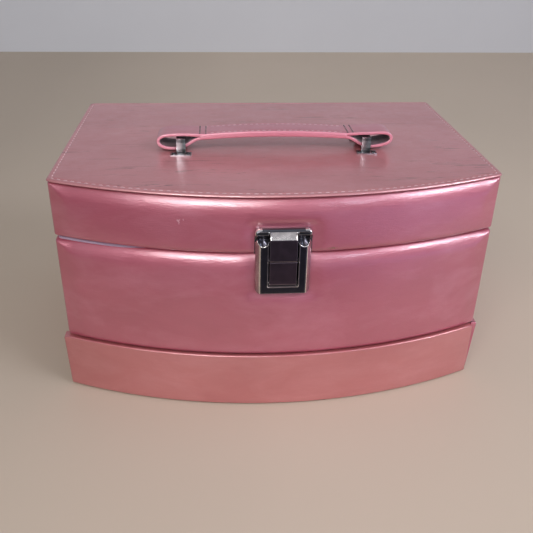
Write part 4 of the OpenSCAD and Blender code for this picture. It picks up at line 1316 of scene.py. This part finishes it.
def ring_rolls(body, seed):
    """Foam rolls for rings, seen as soft half-rounds side by side."""
    node = body + "_ring_rolls"
    corners = np.array([v.co for v in frame["nodes"][node].data.vertices]) * 1000
    low, high = corners.min(0), corners.max(0)
    count = int(round((high[1] - low[1] - 2 * ROLL_R) / ROLL_PITCH)) + 1
    ends = np.array([0, 0.25, 0.8, 1.6, ROLL_END])
    stations = np.concatenate([
        low[0] + ends, np.linspace(low[0] + ROLL_END, high[0] - ROLL_END, 22)[1:-1],
        high[0] - ends[::-1]])
    around = np.linspace(-math.radians(33), math.pi + math.radians(33), 22)
    floor_z = low[2] + 0.05
    parts = []
    for k in range(count):
        y = low[1] + ROLL_R + ROLL_PITCH * k
        centre = np.array([y, low[2] + 2.5])
        levels = []
        for x in stations:
            t = min(x - low[0], high[0] - x) / ROLL_END
            size = 1.0
            if t < 1:
                size = 0.55 + 0.45 * math.sqrt(max(0.0, 1 - (1 - t) ** 2))
            height = low[2] + 0.55 * ROLL_R + ROLL_R * np.sin(around)
            section = np.column_stack([y + ROLL_R * 0.985 * np.cos(around),
                                       np.maximum(floor_z, height)])
            section = centre + (section - centre) * size
            section[:, 1] = np.maximum(section[:, 1], floor_z)
            loop = np.column_stack([np.full(len(section), x), section])
            away = section - centre
            normal = away / np.linalg.norm(away, axis=1)[:, None]
            loop[:, 1:] += normal * (0.20 * ripple(loop * 0.11 + k * 3, 1, seed + k))[:, None]
            loop[:, 2] = np.maximum(loop[:, 2], low[2] + 0.03)
            levels.append(loop)
        build = Build()
        starts = build.loops(levels)
        build.close(starts[0], len(around), flip=True)
        build.close(starts[-1], len(around))
        parts.append(build.mesh())
    make_piece(body + "_foam_rolls", merge(parts), body, VELVET, (node,), angle=60)


ring_rolls("tray", 101)
ring_rolls("drawer", 111)


# ------------------------------------------------------------------ mirror frame
def mirror_frame():
    """A padded, covered bezel."""
    low, high = mm_box("mirror_frame")
    plan = round_poly([(high[0], high[1]), (low[0], high[1]), (low[0], low[1]),
                       (high[0], low[1])], [11] * 4, steps=10)
    normal = outward(plan)
    top, bottom = high[2] - 0.02, low[2]
    profile = (                            # inset, z
        (0.3, top), (0.0, top - 0.6), (0.25, bottom + 1.3), (1.2, bottom + 0.45),
        (3.0, bottom + 0.05), (5.2, bottom), (7.4, bottom + 0.3), (8.9, bottom + 0.75),
        (9.9, bottom + 0.92), (10.0, bottom + 0.97), (7.3, bottom + 0.98), (7.0, bottom + 1.2),
        (6.9, top))
    build = Build()
    build.loops([at_height(plan - normal * inset, z) for inset, z in profile], closed=True,
                flip=True)
    make_piece("mirror_bezel", build.mesh(), "lid", PINK, ("mirror_frame",),
               subsurf=1)


mirror_frame()

# ------------------------------------------------------------------ latch
shell_lo, _ = mm_box("latch_shell")
plate_lo, plate_hi = mm_box("latch_plate")
button_lo, button_hi = mm_box("latch_button")
LATCH_LOW, LATCH_TOP, LATCH_X = shell_lo[2] + 0.2, plate_hi[2], plate_hi[0]
LATCH_H = PAD_FACE - shell_lo[1]           # how far the shell stands off the pad
FACE_X = 14.6                              # half width of the shell's flat face
CHANNEL_X = 9.3                            # half width of the channel down its middle
CHANNEL_LOW = LATCH_LOW + 7.0
SHELL_X = 17.9                             # half width of the shell
BEVEL_W = LATCH_X - 0.5 - FACE_X
BUTTON_UP = 0.9                            # the button sits this much higher in its window
SPLIT = button_hi[2] + BUTTON_UP + 0.3     # between button and tongue
TONGUE_X = button_hi[0]
MOVING_H = LATCH_H - 0.5                   # height of the tongue and button
PLATE_R = 3.3                              # radius of the plate's upper corners


def edge_drop(distance, radius):
    """How far a rolled edge falls back at a distance inside its rim."""
    distance = np.clip(distance, 0, radius)
    return radius - np.sqrt(np.maximum(0, radius * radius - (radius - distance) ** 2))


def columns(*spans):
    return np.concatenate([np.linspace(start, end, count) for start, end, count in spans])


def relief(name, half, bottom, top, height, inside, rows, body, material, node, finish=None):
    """A pressed sheet. height(x, z, above its lower edge, below its upper edge) is its face's
    height over the pad and inside(x, z) its back's; finish picks a material index per face."""
    x = np.unique(np.round(np.concatenate([-half[::-1], half]), 4))
    t = np.unique(np.concatenate([[0, 0.0012, 0.004, 0.008, 0.013],
                                  np.linspace(0, 1, rows)[1:-1],
                                  [0.987, 0.992, 0.996, 0.9988, 1]]))
    x, t = np.meshgrid(x, t)
    bottom_z, top_z = bottom(x), top(x)
    z = bottom_z + (top_z - bottom_z) * t
    face_h = height(x, z, z - bottom_z, top_z - z)
    back_h = np.maximum(np.minimum(inside(x, z), face_h - 0.25), 0.02)
    front = np.stack([x, PAD_FACE - face_h, z], -1).reshape(-1, 3)
    back = np.stack([x, PAD_FACE - back_h, z], -1).reshape(-1, 3)
    i = np.arange(x.size).reshape(x.shape)
    quads = np.stack([i[:-1, :-1], i[:-1, 1:], i[1:, 1:], i[1:, :-1]], -1).reshape(-1, 4)
    rim = np.concatenate([i[0, :-1], i[:-1, -1], i[-1, :0:-1], i[:0:-1, 0]])
    after = np.roll(rim, -1)
    sides = np.stack([rim, rim + x.size, after + x.size, after], 1)
    faces = quads.tolist() + (quads[:, ::-1] + x.size).tolist() + sides.tolist()
    piece = make_piece(name, (np.concatenate([front, back]), faces), body, material, (node,),
                       angle=58, extra=(REFLECTION_NICKEL, GLINT) if finish else ())
    if finish:
        mid_x = (x[:-1, :-1] + x[1:, 1:]) / 2
        mid_z = (z[:-1, :-1] + z[1:, 1:]) / 2
        above = mid_z - (bottom_z[:-1, :-1] + bottom_z[1:, 1:]) / 2
        below = (top_z[:-1, :-1] + top_z[1:, 1:]) / 2 - mid_z
        index = np.zeros(len(faces), int)
        index[:mid_x.size] = finish(mid_x, mid_z, above, below).reshape(-1)
        piece.data.polygons.foreach_set("material_index", index.tolist())


def flat(z):
    return lambda x: np.full_like(x, z)


def shell_bottom(x):
    t = np.clip((np.abs(x) - FACE_X) / BEVEL_W, 0, 1)
    return LATCH_LOW + 2.6 * (1 - np.sqrt(np.maximum(0, 1 - t ** 2.4)))


def shell_top(x):
    """Lower across the channel, a round scoop at each side of it and dropping outer corners."""
    a = np.abs(x)
    full = LATCH_LOW + 38.9
    scoop = LATCH_LOW + 39.3 - np.sqrt(np.maximum(0, 3.5 ** 2 - (a - 13.0) ** 2))
    z = np.where((a > 9.5) & (a < 16.5), np.minimum(scoop, full), full)
    z = np.where(a >= 16.5, full - 2.2 * smooth((a - 16.5) / 1.6) ** 1.5, z)
    return np.where(a <= 9.5, LATCH_LOW + 36.6, z)


def shell_height(x, z, above, below):
    a = np.abs(x)
    u = np.clip((a - FACE_X) / BEVEL_W, 0, 1)
    v = np.clip((LATCH_LOW + 1.5 - z) / 1.5, 0, 1)
    bevel = np.clip(np.sqrt(u * u + 0.16 * v * v) - 0.02, 0, 1) ** 1.08
    h = LATCH_H - (LATCH_H - 1.7) * bevel
    # shallow groove softening the ridge between face and bevel
    h -= 0.16 * np.exp(-((a - FACE_X) / 0.35) ** 2)
    # frame round the channel: a fine bead, then the chamfer down into it
    dx = a - CHANNEL_X
    dz = CHANNEL_LOW - z
    d = np.where(dz > 0, np.hypot(np.maximum(dx, 0), dz), dx)
    in_channel = (a <= CHANNEL_X) & (z >= CHANNEL_LOW)
    h += np.where(~in_channel, 0.22 * np.exp(-((d - 0.75) / 0.28) ** 2), 0)
    chamfer = smooth(np.clip(d / 0.5, 0, 1))
    # the sunken floor leaves the button room to travel
    floor_h = np.where(z > SPLIT, 2.7, LATCH_H - 4.35)
    h = np.where(in_channel, floor_h, floor_h + (h - floor_h) * np.where(d < 0.5, chamfer, 1))
    h -= np.where(a > 9.5, edge_drop(below, 0.55), 0)
    h -= edge_drop(above, 0.5)
    h -= edge_drop(SHELL_X - a, 0.4) * 1.2
    return np.maximum(h, 0.3)


def shell_finish(x, z, above, below):
    """0 dark face, 1 painted warm reflection on the bevels, lower edge and frame line, 2 painted
    glints on the edges, corners and scoop rims.
    """
    a = np.abs(x)
    k = np.where((a > FACE_X + 0.2) | (above < 1.0), 1, 0)
    k = np.where((a > FACE_X + 0.15) & (a < FACE_X + 0.95) & (z < LATCH_LOW + 37), 2, k)
    under = CHANNEL_LOW - z
    d = np.hypot(np.maximum(a - CHANNEL_X, 0), np.maximum(under, 0))
    k = np.where((d > 0) & (d < 0.55) & (under > 0), 1, k)
    corner = (np.abs(a - CHANNEL_X - 0.2) < 0.75) \
        & ((np.abs(under - 0.1) < 0.75) | (np.abs(z - SPLIT) < 0.6))
    k = np.where(corner & (d < 0.9), 2, k)
    return np.where((a > 9.5) & (below < 0.75), 2, k)


def plate_top(x):
    a = np.clip(np.abs(x) - (LATCH_X - PLATE_R), 0, PLATE_R)
    return LATCH_TOP - (PLATE_R - np.sqrt(np.maximum(0, PLATE_R * PLATE_R - a * a)))


def plate_height(x, z, above, below):
    """A bead along the top, rolled at its corners, sloping back to the thin plate."""
    a = np.abs(x)
    depth = LATCH_TOP - z
    side = LATCH_X - a
    rise = 3.7 - 2.9 * smooth((depth - 3.2) / 5.2)
    rim = np.minimum(below, side + 6 * smooth((depth - 5) / 4))
    h = rise - edge_drop(rim, 1.5) * np.minimum(1, rise / 3.7) * 1.5
    h = np.maximum(h, 0.8 - edge_drop(np.minimum(side, above), 0.3))
    # fine raised rim round the top corners
    edge = np.minimum(below, side)
    h += 0.20 * np.exp(-((edge - 1.55) / 0.30) ** 2) * smooth((9.0 - depth) / 2.5)
    # the mouth the tongue lies in
    beside = np.clip((a - 9.1) / 0.4, 0, 1)
    over = np.clip((2.1 - depth) / 0.4, 0, 1)
    k = np.where((a < 9.1) & (depth > 2.1), 0.0, np.maximum(smooth(beside), smooth(over)))
    return np.where((depth > 1.6) & (a < 9.6), 0.75 + (h - 0.75) * k, h)


def plate_finish(x, z, above, below):
    # painted glints round the plate's upper corners
    side = LATCH_X - np.abs(x)
    rim = (np.minimum(below, side) < 0.9) & (LATCH_TOP - z < 4.2)
    return np.where(rim & (side < 4.6), 2, 0)


def tongue_height(x, z, above, below):
    """Flat below a knee, sloping back above it, with fine side flanges."""
    side = TONGUE_X - np.abs(x)
    knee, top = LATCH_TOP - 6.5, LATCH_TOP - 2.3
    slope = np.clip((z - knee) / (top - knee), 0, 1)
    h = MOVING_H - (MOVING_H - 3.35) * (slope ** 0.68)
    h -= 0.10 * np.exp(-((z - knee) / 0.6) ** 2)
    h += 0.30 * np.exp(-((side - 0.55) / 0.28) ** 2) * smooth((z - knee + 0.6) / 1.2)
    return h - edge_drop(side, 0.35) - edge_drop(above, 0.35) - edge_drop(below, 0.6)


def tongue_finish(x, z, above, below):
    # the slope gets a painted highlight, broken by a thin line of painted reflection near each
    # side; the lower edge gets painted reflection
    side = TONGUE_X - np.abs(x)
    slope = np.where((side > 0.85) & (side < 1.15), 1, 2)
    return np.where(z > LATCH_TOP - 6.6, slope, np.where(above < 0.3, 1, 0))


def button_height(x, z, above, below):
    a = np.abs(x)
    dish = 0.10 * (1 - (a / TONGUE_X) ** 2)
    return MOVING_H - dish - edge_drop(TONGUE_X - a, 0.4) - edge_drop(above, 0.4) \
        - edge_drop(below, 0.4)


SHELL_COLUMNS = columns((0, 8.6, 12), (8.6, 10.8, 26), (10.8, 14.0, 24), (14.0, 15.2, 16),
                        (15.2, SHELL_X, 26))
PLATE_COLUMNS = columns((0, 8.8, 14), (8.8, 10.0, 12), (10.0, 14.6, 14), (14.6, 17.6, 22),
                        (17.6, LATCH_X, 10))
TONGUE_COLUMNS = columns((0, 7.2, 10), (7.2, TONGUE_X, 20))
relief("latch_pressed_shell", SHELL_COLUMNS, shell_bottom, shell_top, shell_height,
       lambda x, z: np.where(np.abs(x) < CHANNEL_X, 2.0, 0.4), 150, "case", SHELL_PLATING,
       "latch_shell", shell_finish)
relief("latch_pressed_plate", PLATE_COLUMNS, flat(plate_lo[2]), plate_top, plate_height,
       lambda x, z: np.full_like(x, 0.06), 130, "lid", PLATE_PLATING, "latch_plate",
       plate_finish)
relief("latch_tongue", TONGUE_COLUMNS, flat(SPLIT + 0.15), flat(LATCH_TOP - 1.75),
       tongue_height, lambda x, z: tongue_height(x, z, 9, 9) - 1.15, 90, "hasp",
       TONGUE_PLATING, "latch_hasp", tongue_finish)
relief("latch_push_button", TONGUE_COLUMNS, flat(button_lo[2] + BUTTON_UP + 0.25),
       flat(button_hi[2] + BUTTON_UP), button_height,
       lambda x, z: np.full_like(x, LATCH_H - 2.6), 60, "release_button", BUTTON_PLATING,
       "latch_button")

# ------------------------------------------------------------------ carried-over pieces
# bevel width in mm and the nodes that get it
BEVELS = (
    (0.12, ("hinge_body_screws", "hinge_lid_screws")),
    (0.15, ("latch_pin",)),
    (0.18, ("hinge_body_leaves", "hinge_lid_leaves")),
    (0.20, ("hinge_pins", "compartment_floor")),
    (0.25, ("lid_brackets", "tray_arms", "staple_rivets", "tray_pins", "base_underside_cover")),
    (0.30, ("handle_staples", "arm_pivot_rivets", "lid_bracket_rivets", "latch_lower_rivets",
            "latch_upper_rivets", "base_bottom_board")),
    (0.50, ("mirror_glass",)))
BOARD_BEVEL = 0.20
BOARDS = ("base_side_boards", "base_back_board", "body_side_boards", "body_back_board",
          "body_front_board", "lid_side_boards", "lid_back_board", "lid_front_board",
          "lid_top_board")


def shade_smooth(node):
    for polygon in frame["nodes"][node].data.polygons:
        polygon.use_smooth = True


def dress(node, width, segments=2):
    """Softens the edges of a carried-over piece with modifiers, leaving its mesh alone."""
    modifiers = frame["nodes"][node].modifiers
    weld = modifiers.new("weld", "WELD")
    weld.merge_threshold = 0.000005
    planar = modifiers.new("planar", "DECIMATE")
    planar.decimate_type = "DISSOLVE"
    planar.angle_limit = math.radians(1.0)
    bevel = modifiers.new("bevel", "BEVEL")
    bevel.width = width * 0.001
    bevel.segments = segments
    bevel.limit_method = "ANGLE"
    bevel.angle_limit = math.radians(32)
    bevel.harden_normals = True
    bevel.use_clamp_overlap = True
    shade_smooth(node)


for width, nodes in BEVELS:
    for node in nodes:
        dress(node, width)
for node in BOARDS:
    dress(node, BOARD_BEVEL, segments=1)
shade_smooth("latch_spring")


# ------------------------------------------------------------------ stage
def floor_material():
    net = new_net("pale_floor")
    pale = net.mix(net.noise(3), (0.53, 0.44, 0.34), (0.58, 0.48, 0.37))
    in_front = net.ramp(net.span(net.xyz()["Y"], 1.0, 0.5, "ADD"), (0.357, 1.0), (0.378, 0.0))
    on_left = net.ramp(net.span(net.xyz()["X"], 1.0, 0.5, "ADD"), (0.32, 0.45), (0.50, 0.0))
    pale = net.mix(on_left, pale, (0.30, 0.25, 0.19))
    # seen directly the floor is pale throughout; the case mirrors a dim room in front
    camera_ray = net.node("LightPath").outputs["Is Camera Ray"]
    in_front = net.times(in_front, net.math("SUBTRACT", 1.0, camera_ray))
    on_right = net.rise(net.span(net.xyz()["X"], 1.0, 0.5, "ADD"), 0.52, 0.66)
    dim = net.mix(on_right, (0.06, 0.052, 0.056), (0.44, 0.46, 0.66))
    return net.surface({"Base Color": net.mix(in_front, pale, dim), "Roughness": 0.6})


def backdrop_material():
    net = new_net("pale_backdrop")
    pale = net.mix(net.noise(4), (0.66, 0.67, 0.68), (0.70, 0.71, 0.72))
    upper = net.rise(net.span(net.xyz()["Y"], 3.0, 0.1666, "ADD"), 0.40, 0.50)
    return net.surface({"Base Color": net.mix(upper, pale, (0.34, 0.34, 0.35)),
                        "Roughness": 0.8})


def stage_plane(name, material, location, tilt):
    bpy.ops.mesh.primitive_plane_add(size=6, location=location,
                                     rotation=(math.radians(tilt), 0, 0))
    plane = bpy.context.object
    plane.name = name
    plane.data.materials.append(material)


stage_plane("floor", floor_material(), location=(0, 0, 0), tilt=0)
stage_plane("backdrop", backdrop_material(), location=(0, 1.1, 1.0), tilt=90)


def studio_world():
    """A soft surround that brightens upwards and to the right."""
    world = bpy.data.worlds.new("soft_studio")
    SCENE.world = world
    world.use_nodes = True
    net = Net(world, "Generated")
    place = net.xyz()
    upward = net.ramp(net.span(place["Z"], 1.0, 0.5, "ADD"),
                      (0.0, (0.10, 0.09, 0.09)), (0.47, (0.20, 0.19, 0.19)),
                      (0.52, (0.52, 0.50, 0.51)), (0.60, (0.46, 0.46, 0.49)),
                      (0.80, (0.50, 0.52, 0.56)), (1.0, (0.60, 0.62, 0.66)))
    sideways = net.ramp(net.span(place["X"], 1.0, 0.5, "ADD"),
                        (0.0, (0.50, 0.48, 0.48)), (0.45, (0.85, 0.84, 0.84)),
                        (0.75, (1.15, 1.12, 1.22)), (1.0, (1.0, 1.0, 1.1)))
    background = net.tree.nodes["Background"]
    net.feed(background.inputs[0], net.mix(1.0, upward, sideways, "MULTIPLY"))
    background.inputs[1].default_value = 1.0


studio_world()


# ------------------------------------------------------------------ lights
def area(name, location, target, size, power, color, size_y=None, diffuse=True, glossy=True):
    light = bpy.data.lights.new(name, "AREA")
    light.energy = power
    light.color = color
    light.size = size
    if size_y:
        light.shape = "RECTANGLE"
        light.size_y = size_y
    lamp = bpy.data.objects.new(name, light)
    SCENE.collection.objects.link(lamp)
    lamp.visible_diffuse, lamp.visible_glossy = diffuse, glossy
    lamp.location = location
    lamp.rotation_mode = "QUATERNION"
    aim = Vector(target) - Vector(location)
    lamp.rotation_quaternion = aim.to_track_quat("-Z", "Y")


def glint(name, azimuth, elevation, distance, target, **light):
    """A light seen only in reflections; azimuth 0 is straight in front, positive to the right."""
    a, e = math.radians(azimuth), math.radians(elevation)
    location = (target[0] + distance * math.cos(e) * math.sin(a),
                target[1] - distance * math.cos(e) * math.cos(a),
                target[2] + distance * math.sin(e))
    area(name, location, target, diffuse=False, **light)


LEFT_AIM, MIDDLE_AIM, RIGHT_AIM = (-0.04, -0.10, 0.14), (0.04, -0.11, 0.15), (0.08, -0.08, 0.14)
area("window_left", (-0.32, -1.02, 1.00), LEFT_AIM, size=0.80, size_y=0.26, power=7.0,
     color=(1.0, 0.98, 0.97), glossy=False)
area("window_right", (0.92, -0.66, 0.98), RIGHT_AIM, size=0.66, size_y=0.30, power=7.6,
     color=(0.84, 0.86, 1.0), glossy=False)
glint("window_left_sheen", -17, 31, 1.35, LEFT_AIM, size=0.84, size_y=0.54, power=5.6,
      color=(1.0, 0.97, 0.98))
glint("window_left_core", -16, 21, 1.30, LEFT_AIM, size=0.50, size_y=0.15, power=4.6,
      color=(0.94, 0.99, 1.0))
glint("window_right_sheen", 56, 31, 1.35, RIGHT_AIM, size=0.74, size_y=0.46, power=3.4,
      color=(0.84, 0.86, 1.0))
glint("window_right_core", 53, 22, 1.30, RIGHT_AIM, size=0.50, size_y=0.13, power=4.2,
      color=(0.88, 0.95, 1.0))
glint("small_lamp", 26, 19, 1.30, MIDDLE_AIM, size=0.09, power=1.0, color=(0.72, 0.84, 1.0))
area("top_soft", (0.0, 0.45, 1.30), (0, 0, 0.1), size=0.9, power=1.6, color=(0.98, 0.98, 1.0))

# ------------------------------------------------------------------ camera
CAMERA_PLACE = (-0.0410, -0.4790, 0.3209)
YAW, PITCH, ROLL = (math.radians(degrees) for degrees in (4.787, 27.214, 1.102))


def add_camera():
    data = bpy.data.cameras.new("camera")
    camera = bpy.data.objects.new("camera", data)
    SCENE.collection.objects.link(camera)
    forward = Vector((math.sin(YAW) * math.cos(PITCH), math.cos(YAW) * math.cos(PITCH),
                      -math.sin(PITCH)))
    right = Vector((math.cos(YAW), -math.sin(YAW), 0))
    up = right.cross(forward)
    rolled_right = math.cos(ROLL) * right + math.sin(ROLL) * up
    rolled_up = -math.sin(ROLL) * right + math.cos(ROLL) * up
    matrix = Matrix((rolled_right, rolled_up, -forward)).transposed().to_4x4()
    matrix.translation = Vector(CAMERA_PLACE)
    camera.matrix_world = matrix
    data.sensor_width = 36
    data.lens = 43.8551595
    data.shift_y = -0.05816135
    data.clip_start, data.clip_end = 0.01, 20
    SCENE.camera = camera


add_camera()
SCENE.view_settings.view_transform = "Standard"
SCENE.view_settings.look = "None"
